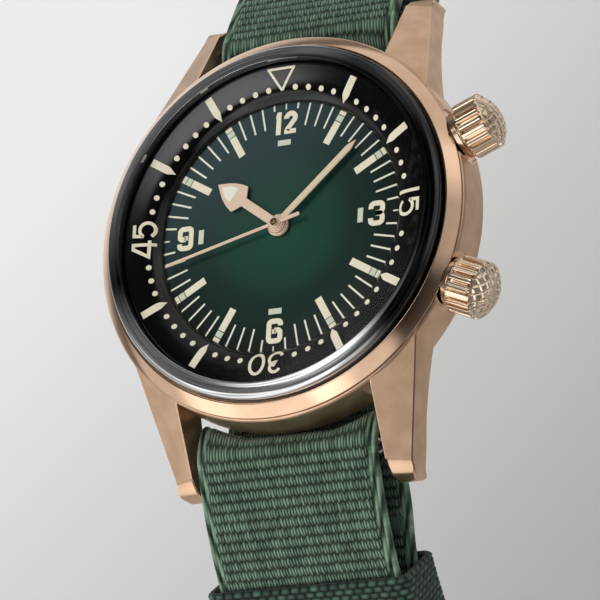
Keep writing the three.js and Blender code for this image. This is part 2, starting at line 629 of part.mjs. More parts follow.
// ---------------------------------------------------------------- strap
// band under the case, rising between case and bar to the start of the wrap; [y, z]
const UNDER_T = STRAP_T - 0.05;
const underCaseLine = [
  [-21.45, BAR_Z - 0.5], [-21.3, -7.6], [-20.6, -9.2], [-19, -10.25], [-17, -10.5],
  [17, -10.5], [19, -10.25], [20.6, -9.2], [21.3, -7.6], [21.45, BAR_Z - 0.5],
];
add('strap_under_case', acrossStrap(thickLine(underCaseLine, UNDER_T)), WEB);
add('under_strap_centre',
  block(-STRAP_HALF_W, STRAP_HALF_W, -17.5, 17.5, WRIST_FACE, WRIST_FACE + UNDER_T), WEB);

// buckle side of the band: ends in a folded and stitched loop round the buckle bar
const FOLD_AT = 68;
const barStation = stationAt(bucklePath, FOLD_AT + 1.9);
const loopHalfW = STRAP_HALF_W - 0.08;
const foldOutline = bandOutline(
  bucklePath, FOLD_AT - 12, FOLD_AT + 0.9, -HALF_T - STRAP_T, -HALF_T + 0.15,
);
add('strap_buckle_half', wrappedBand(bucklePath, FOLD_AT)
  .add(placed(alongX(rod(2.2, -loopHalfW, loopHalfW, 16)), barStation))
  .add(acrossStrap(foldOutline, 0.15))
  .subtract(placed(alongX(rod(1.05, -30, 30, 16)), barStation))
  .subtract(placed(block(-1.7, 1.7, -2, 6, -6, 6), barStation)), WEB);   // tongue slot

// The lower layer starts LAYER_SPACING below the band and eases towards it.
const LAYER_SPACING = 6.0;
const LAYER_FROM = 4.2;
const { smoothstep } = THREE.MathUtils;
const buckleShift = (along) =>
  (LAYER_SPACING - STRAP_T - 0.12) * smoothstep(along, 8, 32) - LAYER_SPACING;
const keeperShift = (along) => 1.6 * smoothstep(along, 6, 15) - LAYER_SPACING;
const lowerLayer = (path, to, shift) =>
  acrossStrap(bandOutline(path, LAYER_FROM, to, -HALF_T, HALF_T, shift));
add('under_strap_buckle_side', lowerLayer(bucklePath, 44, buckleShift), WEB);

// tail side: a row of pin holes and a rounded end
const TAIL_END = 116;
const TAIL_ROUND = 9;             // length of the rounded end
const PIN_HOLES = { count: 8, from: 60, pitch: 6.5, radius: 1.05 };
function strapTail() {
  const halfW = STRAP_HALF_W + 0.01;
  const keep = [[-halfW, -12], [halfW, -12]];
  for (let k = 0; k <= 10; k++) {
    const angle = rad(18 * k);
    keep.push([halfW * Math.cos(angle), TAIL_ROUND * (Math.sin(angle) ** 0.9 - 1)]);
  }
  const cutter = block(-14, 14, -TAIL_ROUND, 3, -3, 3).subtract(plate(keep, -4, 4));
  let tail = wrappedBand(tailPath, TAIL_END)
    .subtract(placed(cutter, stationAt(tailPath, TAIL_END)));
  const hole = plate(circle(PIN_HOLES.radius, 10), -3, 3);
  for (let i = 0; i < PIN_HOLES.count; i++) {
    const along = PIN_HOLES.from + PIN_HOLES.pitch * i;
    tail = tail.subtract(placed(hole, stationAt(tailPath, along)));
  }
  return toSix(tail);
}
add('strap_tail_half', strapTail(), WEB);
add('under_strap_keeper_side', toSix(lowerLayer(tailPath, 22.5, keeperShift)), WEB);

const KEEPER_FROM = 13.2;
const KEEPER_TO = 24.5;
const keeperOuter = bandOutline(tailPath, KEEPER_FROM, KEEPER_TO, -6.5, 1.75);
const keeperInner = bandOutline(tailPath, KEEPER_FROM - 1.5, KEEPER_TO + 1.5, -5.6, 0.85);
const keeper = sideways(keeperOuter, -11.7, 11.7).subtract(sideways(keeperInner, -10.75, 10.75));
add('keeper_loop', toSix(keeper), KEEPER_WEB);

// metal rings that guide the tail, one fixed beside the fold and one free
const guideRing = (along, outerBottom, innerBottom) => placed(
  block(-12, 12, -1.6, 1.6, outerBottom, 3.6)
    .subtract(block(-10.7, 10.7, -3, 3, innerBottom, 2.5)),
  stationAt(bucklePath, along),
);
add('sliding_ring', guideRing(49, -2.15, -1.0), BRONZE);
add('fixed_ring', guideRing(60, -3.2, -2.1), BRONZE);

// ---------------------------------------------------------------- pin buckle
// Drawn about its bar with Y away from the strap. Frame outline: [x, y].
const frameOutline = [
  [-13.3, -1.5], [-12.6, -2], [-11.5, -1.5], [-11.5, 0], [-11.2, 0], [-11.2, 9], [-10.2, 10],
  [10.2, 10], [11.2, 9], [11.2, 0], [11.5, 0], [11.5, -1.5], [12.6, -2], [13.3, -1.5],
  [13.5, 9.5], [12.2, 12.2], [10, 12.9], [-10, 12.9], [-12.2, 12.2], [-13.5, 9.5],
];
const buckleFrame = plate(frameOutline, -1.1, 1.1)
  .subtract(alongX(rod(0.62, -12.8, 12.8, 12)))
  .subtract(block(-0.75, 0.75, 9, 14, 0.75, 2));   // rest for the tongue
add('buckle_frame', placed(buckleFrame, barStation), BRONZE);
add('buckle_bar', placed(alongX(rod(0.5, -12.5, 12.5, 16)), barStation), STEEL);

// [y, z] of the tongue
const tongueSide = [
  [0.55, 0.2], [0.9, -0.25], [3, 0.4], [9.2, 0.85], [12.6, 0.9], [13.2, 1.3], [12.6, 1.75],
  [9, 1.75], [3, 1.35], [0.3, 0.95],
];
const tongue = alongX(hoop(0.6, 0.98, -1.2, 1.2, 16))
  .add(sideways(tongueSide, -0.6, 0.6))
  .subtract(alongX(rod(0.58, -5, 5, 16)));
add('buckle_tongue', placed(tongue, barStation), BRONZE);

export default group;
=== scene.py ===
"""A bronze wristwatch with a green dial and two crowns, on a green webbing strap.

The dial faces +Z, twelve o'clock lies towards +Y and three o'clock towards +X.
The buckle half of the strap runs out towards +Y and the tail half towards -Y.
Pieces are drawn in millimetres, with z measured from the bezel's foot.
"""
import random
from bisect import bisect_right
from math import asin, atan2, copysign, cos, degrees, dist, hypot, pi, radians, sin, sqrt

import bmesh
import bpy
from mathutils import Matrix, Vector

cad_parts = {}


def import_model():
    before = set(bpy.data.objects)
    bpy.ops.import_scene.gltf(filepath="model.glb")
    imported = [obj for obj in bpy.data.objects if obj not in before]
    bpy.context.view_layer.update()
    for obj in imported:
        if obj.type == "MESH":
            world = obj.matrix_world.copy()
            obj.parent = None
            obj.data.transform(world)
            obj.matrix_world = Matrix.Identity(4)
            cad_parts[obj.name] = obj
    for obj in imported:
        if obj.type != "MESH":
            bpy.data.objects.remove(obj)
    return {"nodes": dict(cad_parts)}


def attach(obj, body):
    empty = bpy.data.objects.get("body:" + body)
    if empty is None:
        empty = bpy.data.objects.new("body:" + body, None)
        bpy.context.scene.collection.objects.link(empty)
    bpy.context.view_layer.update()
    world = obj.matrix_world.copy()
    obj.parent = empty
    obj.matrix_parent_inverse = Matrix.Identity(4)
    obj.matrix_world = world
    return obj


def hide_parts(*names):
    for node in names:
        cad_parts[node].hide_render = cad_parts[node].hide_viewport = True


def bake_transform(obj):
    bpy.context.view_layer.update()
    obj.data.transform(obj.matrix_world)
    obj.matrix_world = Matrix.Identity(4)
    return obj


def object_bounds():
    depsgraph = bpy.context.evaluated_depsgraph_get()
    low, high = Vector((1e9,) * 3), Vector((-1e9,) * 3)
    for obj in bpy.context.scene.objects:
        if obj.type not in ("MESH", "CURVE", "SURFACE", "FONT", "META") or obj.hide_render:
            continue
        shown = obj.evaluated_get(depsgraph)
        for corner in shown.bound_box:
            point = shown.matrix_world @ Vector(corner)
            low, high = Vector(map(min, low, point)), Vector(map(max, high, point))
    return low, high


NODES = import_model()["nodes"]
CAD_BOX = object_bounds()
random.seed(7)

# ------------------------------------------------------------------ shared sizes, in mm
LIFT = 12.4  # height of the bezel's foot above the model's zero
CROWN_ANGLE, CROWN_Z = 22.2, -2.0  # crown axes: degrees either side of +X, and height
BAR_Y, BAR_Z, BAR_RADIUS = 23.0, -5.8, 0.8  # spring bars
STRAP_THICK = 1.2
LAYER_THICK = 1.1  # the fold and every layer under the main bands
RIB_PITCH = 1.035  # rows of the webbing, along the strap
BASKET_ROW, BASKET_CELL = 0.62, 1.1  # coarse weave of the keeper
CLEAR = 0.02  # gap between the folded webbing and the band above it


def to_metres(x, y, z):
    return (x / 1000.0, y / 1000.0, (z + LIFT) / 1000.0)


# ------------------------------------------------------------------ shader tools
class Signal:
    """A node output that grows Math nodes through Python's operators."""

    def __init__(self, graph, socket):
        self.graph, self.socket = graph, socket

    def math(self, operation, other=0.0):
        inputs = {0: self, 1: other, 2: 0.0}
        return self.graph.make("Math", inputs, operation=operation)

    def __add__(self, other):
        return self.math("ADD", other)

    def __sub__(self, other):
        return self.math("SUBTRACT", other)

    def __mul__(self, other):
        return self.math("MULTIPLY", other)

    def __truediv__(self, other):
        return self.math("DIVIDE", other)

    def __mod__(self, other):
        return self.math("MODULO", other)

    def __pow__(self, other):
        return self.math("POWER", other)

    def __abs__(self):
        return self.math("ABSOLUTE")

    def sin(self):
        return self.math("SINE")

    def cos(self):
        return self.math("COSINE")

    def floor(self):
        return self.math("FLOOR")

    def ridge(self, power):
        """One rounded ridge in every unit of the signal."""
        return (self.math("FRACT") * pi).sin() ** power


class Graph:
    """Adds nodes to a shader tree."""

    def __init__(self, tree):
        self.tree = tree

    def feed(self, socket, value):
        if isinstance(value, Signal):
            self.tree.links.new(value.socket, socket)
        else:
            socket.default_value = value

    def make(self, kind, inputs, output=0, **props):
        node = self.tree.nodes.new("ShaderNode" + kind)
        for key, value in props.items():
            setattr(node, key, value)
        for key, value in inputs.items():
            self.feed(node.inputs[key], value)
        return Signal(self, node.outputs[output])

    def scaled(self, vector, factor):
        return self.make("VectorMath", {0: vector, "Scale": factor}, operation="SCALE")

    def millimetres(self):
        return self.scaled(self.make("TexCoord", {}, "Object"), 1000.0)

    def weave_space(self):
        """Millimetres across and along the strap, from the UV map."""
        return self.split(self.scaled(self.make("UVMap", {}, uv_map="weave"), 100.0))

    def split(self, vector):
        node = self.make("SeparateXYZ", {0: vector}).socket.node
        return [Signal(self, socket) for socket in node.outputs]

    def combine(self, x, y, z=0.0):
        return self.make("CombineXYZ", {0: x, 1: y, 2: z})

    def noise(self, vector, scale=1.0, detail=4.0, rough=0.5):
        inputs = {"Vector": vector, "Scale": scale, "Detail": detail, "Roughness": rough}
        return self.make("TexNoise", inputs)

    def white(self, *cell):
        return self.make("TexWhiteNoise", {"Vector": self.combine(*cell)}, "Value")

    def ramp(self, factor, stops, interpolation="LINEAR"):
        signal = self.make("ValToRGB", {0: factor})
        ramp = signal.socket.node.color_ramp
        ramp.interpolation = interpolation
        while len(ramp.elements) < len(stops):
            ramp.elements.new(0.5)
        for element, (position, color) in zip(ramp.elements, stops):
            element.position = position
            element.color = color
        return signal

    def mix(self, factor, a, b):
        return self.make("Mix", {0: factor, 6: a, 7: b}, 2, data_type="RGBA")

    def step(self, value, span):
        """Eases from 0 to 1 across the span."""
        inputs = {0: value, 1: span[0], 2: span[1]}
        return self.make("MapRange", inputs, interpolation_type="SMOOTHSTEP")

    def remap(self, value, to, span=(0.0, 1.0)):
        """Stretches the span linearly to the new pair of values."""
        return self.make("MapRange", {0: value, 1: span[0], 2: span[1], 3: to[0], 4: to[1]})

    def bump(self, height, distance, strength):
        """Distance is in metres."""
        inputs = {"Height": height, "Distance": distance, "Strength": strength}
        return self.make("Bump", inputs)

    def radius(self, x, y):
        return (x * x + y * y).math("SQRT")

    def polar(self, vector):
        x, y, z = self.split(vector)
        return y.math("ARCTAN2", x), self.radius(x, y), z


class Surface(Graph):
    """A new material and the nodes that feed its Principled shader."""

    def __init__(self, name):
        self.material = bpy.data.materials.new(name)
        self.material.use_nodes = True
        super().__init__(self.material.node_tree)

    def set(self, **inputs):
        shader = self.tree.nodes["Principled BSDF"]
        for key, value in inputs.items():
            self.feed(shader.inputs[key.replace("_", " ")], value)
        return self.material


def srgb(*channels):
    """Eight-bit sRGB channels to a linear colour."""
    unit = [c / 255.0 for c in channels]
    return (*(c / 12.92 if c <= 0.04045 else ((c + 0.055) / 1.055) ** 2.4 for c in unit), 1.0)


def brighter(color, *factors):
    return (*(min(1, c * factor) for c, factor in zip(color, factors)), 1)


# ------------------------------------------------------------------ materials
def brushed_metal(name, light, dark, rough, spread, brush, depth, grain=None, edge_highlight=0.25):
    """Metal with a directional grain, slow drift between two tones and a painted highlight on sharp
    edges.
    """
    look = Surface(name)
    place = look.millimetres()
    if brush == "round":
        turn, radius, height = look.polar(place)
        grain_space = look.combine(turn * 9.0, radius * grain, height * grain)
    elif brush == "none":
        grain_space = place
    else:
        # the grain is stretched along the brushed axis
        axes = zip("xyz", look.split(place))
        grain_space = look.combine(*(v * (0.45 if axis == brush else grain) for axis, v in axes))
    fine = look.noise(grain_space, scale=1.0, detail=6.0, rough=0.6)
    drift = look.noise(place, scale=0.35, detail=3.0)
    color = look.mix(look.step(drift, span=(0.3, 0.7)), dark, light)
    color = look.mix(look.remap(fine, to=(0.0, 0.35), span=(0.3, 0.8)), color, dark)
    # painted highlight: sharp edges lightened by pointiness
    edge = look.step(look.make("NewGeometry", {}, "Pointiness"), span=(0.52, 0.62))
    color = look.mix(edge * edge_highlight, color, brighter(light, 1.12, 1.12, 1.12))
    limits = (rough - spread / 2, rough + spread / 2)
    return look.set(Base_Color=color, Metallic=1.0,
                    Roughness=look.remap(fine, to=limits, span=(0.3, 0.7)),
                    Normal=look.bump(fine, distance=depth, strength=0.6))


BRONZE_LIGHT, BRONZE_DARK = (0.87, 0.60, 0.42, 1), (0.70, 0.45, 0.29, 1)
SATIN_ROUND = brushed_metal("bronze_satin_round", BRONZE_LIGHT, BRONZE_DARK, rough=0.34,
                            spread=0.12, brush="round", grain=13.0, depth=0.000008)
SATIN_LONG = brushed_metal("bronze_satin_long", BRONZE_LIGHT, BRONZE_DARK, rough=0.36,
                           spread=0.12, brush="y", grain=13.0, depth=0.000008)
POLISHED = brushed_metal("bronze_polished", BRONZE_LIGHT, (0.80, 0.53, 0.36, 1), rough=0.13,
                         spread=0.06, brush="round", grain=5.0, depth=0.0000015, edge_highlight=0.1)
STEEL = brushed_metal("steel_turned", (0.62, 0.63, 0.64, 1), (0.5, 0.5, 0.52, 1), rough=0.24,
                      spread=0.1, brush="x", grain=9.0, depth=0.000004)
BRASS = brushed_metal("gear_brass", (0.78, 0.60, 0.30, 1), (0.66, 0.48, 0.22, 1), rough=0.26,
                      spread=0.1, brush="round", grain=8.0, depth=0.000004)
CROWN_METAL = brushed_metal("bronze_crown", (0.93, 0.75, 0.58, 1), (0.84, 0.65, 0.48, 1),
                            rough=0.2, spread=0.08, brush="none", depth=0.000003, edge_highlight=0.35)
FURNITURE = brushed_metal("bronze_furniture", BRONZE_LIGHT, BRONZE_DARK, rough=0.26,
                          spread=0.1, brush="x", grain=10.0, depth=0.000006, edge_highlight=0.35)


def striped_rhodium():
    """Plating with straight diagonal stripes and a fine grain."""
    look = Surface("rhodium_striped")
    x, y, z = look.split(look.millimetres())
    stripe = (x * 0.7 + y * 0.7).math("PINGPONG", 0.8)
    fine = look.noise(look.combine(x * 3.0, y * 3.0, z), scale=2.5, detail=5.0)
    color = look.mix(look.remap(stripe, to=(0, 1), span=(0, 0.8)),
                     (0.52, 0.52, 0.51, 1), (0.68, 0.68, 0.66, 1))
    return look.set(Base_Color=color, Metallic=1.0, Roughness=look.remap(fine, to=(0.2, 0.38)),
                    Normal=look.bump(stripe + fine * 0.3, distance=0.00003, strength=0.5))


RHODIUM = striped_rhodium()


def mottled(name, first, second, rough, scale, metallic=0.0, depth=0.00001, sheen=0.0):
    """Two close tones mixed by one noise, which also lifts the surface."""
    look = Surface(name)
    spots = look.noise(look.millimetres(), scale=scale, detail=5.0)
    color = look.mix(look.step(spots, span=(0.3, 0.7)), srgb(*first), srgb(*second))
    return look.set(Base_Color=color, Metallic=metallic, Sheen_Weight=sheen,
                    Roughness=look.remap(spots, to=(rough - 0.06, rough + 0.06)),
                    Normal=look.bump(spots, distance=depth, strength=0.5))


HAND_METAL = mottled("bronze_hands", (252, 224, 200), (244, 212, 186), rough=0.42, scale=6.0,
                     metallic=0.25, depth=0.000002)
RUBBER = mottled("seal_rubber", (20, 20, 20), (30, 30, 31), rough=0.6, scale=6.0)
HOLDER = mottled("holder_plastic", (58, 60, 62), (70, 72, 74), rough=0.5, scale=4.0)
HAIRSPRING = mottled("hairspring_blue", (30, 55, 130), (45, 75, 160), rough=0.25, scale=3.0,
                     metallic=1.0)
CREAM = mottled("printed_cream", (253, 246, 220), (246, 236, 208), rough=0.55, scale=5.0)
CREAM_LINE = mottled("printed_line", (250, 248, 230), (242, 240, 220), rough=0.55, scale=5.0)
LUME = mottled("luminous_paint", (224, 231, 210), (214, 222, 200), rough=0.65, scale=7.0,
               depth=0.00002)
LUME_BRIGHT = mottled("luminous_paint_hands", (255, 253, 240), (246, 240, 220), rough=0.6,
                      scale=7.0, depth=0.00002)
LUME_CREAM = mottled("luminous_cream_hands", (236, 226, 190), (224, 212, 176), rough=0.6,
                     scale=7.0, depth=0.00002)
THREAD = mottled("stitch_thread", (70, 104, 84), (96, 134, 110), rough=0.5, scale=12.0,
                 depth=0.00002, sheen=0.2)


def dial_paint():
    """Green darkening outwards, with a painted reflection that makes it paler towards the upper
    left, and fine rays.
    """
    look = Surface("dial_green")
    place = look.millimetres()
    turn, radius, _ = look.polar(place)
    x, y, _ = look.split(place)
    stops = [(0.0, srgb(17, 78, 58)), (0.3, srgb(13, 68, 50)), (0.6, srgb(6, 42, 32)),
             (0.86, srgb(2, 17, 14)), (1.0, srgb(1, 9, 8))]
    color = look.ramp(radius / 16.0, stops, "EASE")
    # painted reflection: a slate tint mixed in towards the upper left
    painted_reflection_side = x * (-0.5 / 14) + y * (0.86 / 14)
    color = look.mix(look.step(painted_reflection_side, span=(-0.25, 1.0)) * 0.85, color, srgb(58, 78, 82))
    ray_space = look.combine(turn.cos() * 30.0, turn.sin() * 30.0, radius * 0.03)
    rays = look.noise(ray_space, scale=2.0, detail=4.0)
    return look.set(Base_Color=color, Metallic=0.2, Roughness=look.remap(rays, to=(0.34, 0.42)),
                    Coat_Weight=0.08, Coat_Roughness=0.05)


def flange_paint():
    look = Surface("flange_black")
    spots = look.noise(look.millimetres(), scale=3.0, detail=4.0)
    return look.set(Base_Color=look.mix(spots, srgb(5, 5, 6), srgb(10, 10, 11)),
                    Roughness=look.remap(spots, to=(0.12, 0.15)),
                    Coat_Weight=0.3, Coat_Roughness=0.04)


def crystal_glass():
    """Nearly clear, with a weak gloss that grows at grazing angles."""
    look = Surface("sapphire_clear")
    clear = look.make("BsdfTransparent", {0: (0.965, 0.97, 0.97, 1)})
    haze = look.noise(look.millimetres(), scale=0.3, detail=2.0)
    gloss = look.make("BsdfGlossy", {"Color": (1, 1, 1, 1),
                                     "Roughness": look.remap(haze, to=(0.01, 0.03))})
    share = look.make("Fresnel", {"IOR": 1.42}) * 0.35
    glass = look.make("MixShader", {0: share, 1: clear, 2: gloss})
    look.feed(look.tree.nodes["Material Output"].inputs[0], glass)
    # The Principled node is off the output and only holds plain glass values.
    return look.set(Base_Color=(0.95, 0.97, 0.97, 1), Roughness=0.03, Alpha=0.12)


def crystal_edge():
    """The thick edge of the crystal, painted as reflections: dark with painted reflection streaks,
    and painted highlights on two arcs.
    """
    look = Surface("sapphire_rim")
    turn, radius, z = look.polar(look.millimetres())
    # painted highlights: the rim is lightened on a low arc and on an upper-left arc
    low_highlight_arc = look.step((turn - radians(-102)).cos(), span=(0.45, 0.86))
    upper_highlight_arc = look.step((turn - radians(128)).cos(), span=(0.35, 0.95)) * 0.6
    light = low_highlight_arc.math("MAXIMUM", upper_highlight_arc)
    # painted reflection streaks: grey streaks on dark glass, near white on the highlight arcs
    streak_space = look.combine(turn * 1.6, radius * 5.0, z * 5.0)
    reflection_streak = look.noise(streak_space, scale=1.0, detail=2.0, rough=0.5)
    share = look.step(reflection_streak, span=(0.42, 0.72))
    color = look.mix(light, look.mix(share, srgb(6, 7, 9), srgb(70, 72, 76)),
                     look.mix(share, srgb(232, 233, 234), srgb(120, 123, 126)))
    return look.set(Base_Color=color, Metallic=0.85,
                    Roughness=look.remap(reflection_streak, to=(0.05, 0.12)),
                    Coat_Weight=0.5, Coat_Roughness=0.02)


DIAL_PAINT, FLANGE_PAINT = dial_paint(), flange_paint()
GLASS, GLASS_EDGE = crystal_glass(), crystal_edge()


def ribbed_webbing(name, dark, mid, light, yarn=0.335, cord_from=9.25):
    """Rows of short yarns, each row half a step off the next, and twisted edge cords, with painted
    shade in the grooves and painted highlights on the yarn tops.
    """
    look = Surface(name)
    across, along, _ = look.weave_space()
    wavy_row = along / RIB_PITCH + (across / yarn * pi).sin() * 0.09
    row = wavy_row.floor()
    half_step = abs(row) % 2.0 * 0.5
    wander = (look.noise(look.combine(across * 0.9, row), scale=1.0, detail=2.0) - 0.5) * 0.9
    cell = (across + along * 0.12) / yarn + half_step + wander
    height = cell.ridge(0.7) * wavy_row.ridge(0.55)
    # painted shade in the grooves between yarns and rows, painted highlights on the yarn tops, plus
    # random yarn tone
    yarn_tone_and_shade = height * 0.72 + look.white(cell.floor(), row) * 0.28
    field = look.ramp(yarn_tone_and_shade, [(0.0, dark), (0.16, dark), (0.5, mid), (1.0, light)])

    from_middle = abs(across)
    # painted shade in the twist of the cords, painted highlights on their strands
    twist = (along / 4.4 + from_middle * 0.95).ridge(0.8)
    cord_tone_and_shade = twist * 0.8 + look.white((along / 0.62).floor(), 3.0, 1.0) * 0.2
    cord = look.ramp(cord_tone_and_shade, [(0.0, dark), (0.5, mid), (1.0, brighter(light, 1.25, 1.2, 1.2))])
    on_cord = from_middle.math("GREATER_THAN", cord_from)
    color = look.mix(on_cord, field, cord)
    drift = look.noise(look.combine(across, along * 0.4), scale=0.25, detail=3.0)
    color = look.mix(look.step(drift, span=(0.35, 0.8)) * 0.18, color, dark)
    relief = look.mix(on_cord, height, twist)
    return look.set(Base_Color=color, Roughness=look.remap(height, to=(0.72, 0.5)),
                    Sheen_Weight=0.25, Sheen_Roughness=0.4, Specular_IOR_Level=0.35,
                    Normal=look.bump(relief, distance=0.00016, strength=0.85))


def basket_webbing():
    """Coarse basket weave with a fine twill over it, with painted shade in the hollows of the
    weave.
    """
    look = Surface("webbing_basket")
    across, along, _ = look.weave_space()
    row = (along / BASKET_ROW).floor()
    cell = across / BASKET_CELL + abs(row) % 2.0 * 0.5
    height = cell.ridge(0.5) * (along / BASKET_ROW).ridge(0.6)
    twill = ((across + along * 0.35) * 46.0).sin()
    # painted shade in the hollows of the weave and on the twill, plus random yarn tone
    yarn_tone_and_shade = height * 0.62 + look.white(cell.floor(), row) * 0.22 + twill * 0.07
    stops = [(0.0, srgb(7, 14, 10)), (0.34, srgb(14, 28, 20)),
             (0.62, srgb(52, 80, 63)), (1.0, srgb(104, 140, 117))]
    return look.set(Base_Color=look.ramp(yarn_tone_and_shade, stops), Roughness=0.6,
                    Sheen_Weight=0.2, Sheen_Roughness=0.4, Specular_IOR_Level=0.35,
                    Normal=look.bump(height + twill * 0.12, distance=0.00016, strength=0.8))


WEB = ribbed_webbing("webbing_green", dark=srgb(10, 22, 15), mid=srgb(54, 77, 61),
                     light=srgb(126, 158, 135))
# painted shade: a darker copy of the webbing for the lower layers
WEB_SHADED = ribbed_webbing("webbing_shaded", dark=srgb(9, 20, 14), mid=srgb(44, 66, 52),
                          light=srgb(86, 116, 98))
BASKET = basket_webbing()


# ------------------------------------------------------------------ curves
def catmull(points, steps):
    """A smooth curve through the points, with so many steps between each pair."""
    curve = []
    last = len(points) - 1
    for i in range(last):
        corners = (points[max(0, i - 1)], points[i], points[i + 1], points[min(last, i + 2)])
        for k in range(steps):
            t = k / steps
            t2, t3 = t * t, t * t * t
            curve.append(tuple(
                0.5 * (2 * b + (c - a) * t + (2 * a - 5 * b + 4 * c - d) * t2
                       + (3 * b - a - 3 * c + d) * t3) for a, b, c, d in zip(*corners)))
    return curve + [tuple(points[-1])]


def fillet(points, radii, steps=4, closed=True):
    """Rounds the corners of a polyline. radii is one value or one for each corner."""
    count = len(points)
    if not isinstance(radii, list):
        radii = [radii] * count
    rounded = []
    for i, radius in enumerate(radii):
        corner = Vector(points[i])
        if (not closed and i in (0, count - 1)) or radius <= 0:
            rounded.append(tuple(corner))
            continue
        back = Vector(points[i - 1]) - corner
        ahead = Vector(points[(i + 1) % count]) - corner
        reach = min(radius, back.length * 0.45, ahead.length * 0.45)
        start, end = corner + back.normalized() * reach, corner + ahead.normalized() * reach
        for k in range(steps + 1):
            t = k / steps
            rounded.append(tuple(start * (1 - t) ** 2 + corner * 2 * t * (1 - t) + end * t * t))
    return rounded


def interp(table, value):
    """Reads the second column of a table at a value of the first."""
    if value <= table[0][0]:
        return table[0][1]
    for a, b in zip(table, table[1:]):
        if a[0] <= value <= b[0]:
            share = (value - a[0]) / max(1e-9, b[0] - a[0])
            return a[1] + (b[1] - a[1]) * share
    return table[-1][1]


def rounded_rect(half, low, high, radius, steps=8):
    """(x, z, normal x, normal z) round a rectangle centred on x = 0."""
    points = []
    for x, z, start in ((half - radius, high - radius, 90), (half - radius, low + radius, 0),
                        (-half + radius, low + radius, -90), (-half + radius, high - radius, -180)):
        for k in range(steps + 1):
            a = radians(start - 90 * k / steps)
            points.append((x + radius * cos(a), z + radius * sin(a), cos(a), sin(a)))
    return points


def circle(count):
    """The angles of so many even steps round a turn."""
    return [2 * pi * i / count for i in range(count)]


# ------------------------------------------------------------------ mesh tools
def smooth(mesh, sharp=35.0):
    mesh.shade_smooth()
    mesh.set_sharp_from_angle(angle=radians(sharp))


def bridge(first, second, count, closed=True):
    """Quads between two rows of count vertices that start at the given indices."""
    quads = []
    for k in range(count if closed else count - 1):
        after = (k + 1) % count
        quads.append([first + k, first + after, second + after, second + k])
    return quads


def new_object(name, mesh):
    piece = bpy.data.objects.new(name, mesh)
    bpy.context.scene.collection.objects.link(piece)
    return piece


def build(name, verts, faces, materials, sharp=35.0, index=None, uvs=None):
    """index is a material for each face; uvs are millimetres for each vertex."""
    mesh = bpy.data.meshes.new(name)
    mesh.from_pydata([to_metres(*v) for v in verts], [], faces)
    for material in materials if isinstance(materials, list) else [materials]:
        mesh.materials.append(material)
    if index is not None:
        mesh.polygons.foreach_set("material_index", index)
    if uvs is not None:
        layer = mesh.uv_layers.new(name="weave")
        corners = [0] * len(mesh.loops)
        mesh.loops.foreach_get("vertex_index", corners)
        flat = [c / 100.0 for corner in corners for c in uvs[corner]]
        layer.data.foreach_set("uv", flat)
    bm = bmesh.new()
    bm.from_mesh(mesh)
    bmesh.ops.recalc_face_normals(bm, faces=bm.faces)
    bm.to_mesh(mesh)
    bm.free()
    smooth(mesh, sharp)
    return new_object(name, mesh)


def lathe(name, profile, segments, materials, closed=True):
    """Turns an (r, z) profile about Z."""
    verts, rows = [], []
    for r, z in profile:
        if abs(r) < 1e-6:
            rows.append([len(verts)] * segments)
            verts.append((0, 0, z))
        else:
            rows.append(list(range(len(verts), len(verts) + segments)))
            verts.extend((r * cos(t), r * sin(t), z) for t in circle(segments))
    faces = []
    for a, b in zip(rows, rows[1:] + (rows[:1] if closed else [])):
        for i in range(segments):
            k = (i + 1) % segments
            face = list(dict.fromkeys((a[i], a[k], b[k], b[i])))
            if len(face) > 2:
                faces.append(face)
    return build(name, verts, faces, materials)


def bevel(piece, width, segments, angle=25):
    edge = piece.modifiers.new("edge", "BEVEL")
    edge.width = width / 1000.0
    edge.segments = segments
    edge.limit_method = "ANGLE"
    edge.angle_limit = radians(angle)


def plate(name, outline, low, high, place, material, edge, segments=3):
    """A plate with bevelled edges; place maps outline x, y and a level to a point."""
    bm = bmesh.new()
    face = bm.faces.new([bm.verts.new(to_metres(*place(x, y, low))) for x, y in outline])
    moved = bmesh.ops.extrude_face_region(bm, geom=[face])["geom"]
    ends = [(Vector(to_metres(*place(x, y, low))), to_metres(*place(x, y, high)))
            for x, y in outline]
    for vert in moved:
        if isinstance(vert, bmesh.types.BMVert):
            vert.co = min(ends, key=lambda pair: (pair[0] - vert.co).length_squared)[1]
    bmesh.ops.recalc_face_normals(bm, faces=bm.faces)
    mesh = bpy.data.meshes.new(name)
    bm.to_mesh(mesh)
    bm.free()
    mesh.materials.append(material)
    piece = new_object(name, mesh)
    smooth(mesh, 30)
    bevel(piece, edge, segments)
    return piece


def cut_away(piece, verts, faces):
    """Subtracts a closed shape from the piece."""
    tool = build("cutter", verts, faces, POLISHED)
    cut = piece.modifiers.new("cut", "BOOLEAN")
    cut.operation = "DIFFERENCE"
    cut.solver = "EXACT"
    cut.object = tool
    depsgraph = bpy.context.evaluated_depsgraph_get()
    mesh = bpy.data.meshes.new_from_object(piece.evaluated_get(depsgraph))
    piece.modifiers.clear()
    piece.data = mesh
    smooth(mesh)
    bpy.data.objects.remove(tool)


def drill(piece, radius, start, end, place, segments):
    """Cuts a round hole; place maps distances along, sideways and up to a point."""
    verts = [place(along, radius * cos(t), radius * sin(t))
             for along in (start, end) for t in circle(segments)]
    caps = [list(range(segments)), list(range(segments, 2 * segments))]
    cut_away(piece, verts, bridge(0, segments, segments) + caps)


def assign(piece, body, *replaced, slot):
    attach(piece, body)
    if replaced:
        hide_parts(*replaced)


# ------------------------------------------------------------------ case
def crown_axis(angle):
    """Maps distances out from the middle, sideways and up to a point by a crown's axis."""
    ux, uy = cos(radians(angle)), sin(radians(angle))
    return lambda out, side, up: (out * ux - side * uy, out * uy + side * ux, CROWN_Z + up)


def crown_recess(piece, angle):
    drill(piece, 3.2, 20.7, 30, crown_axis(angle), 48)


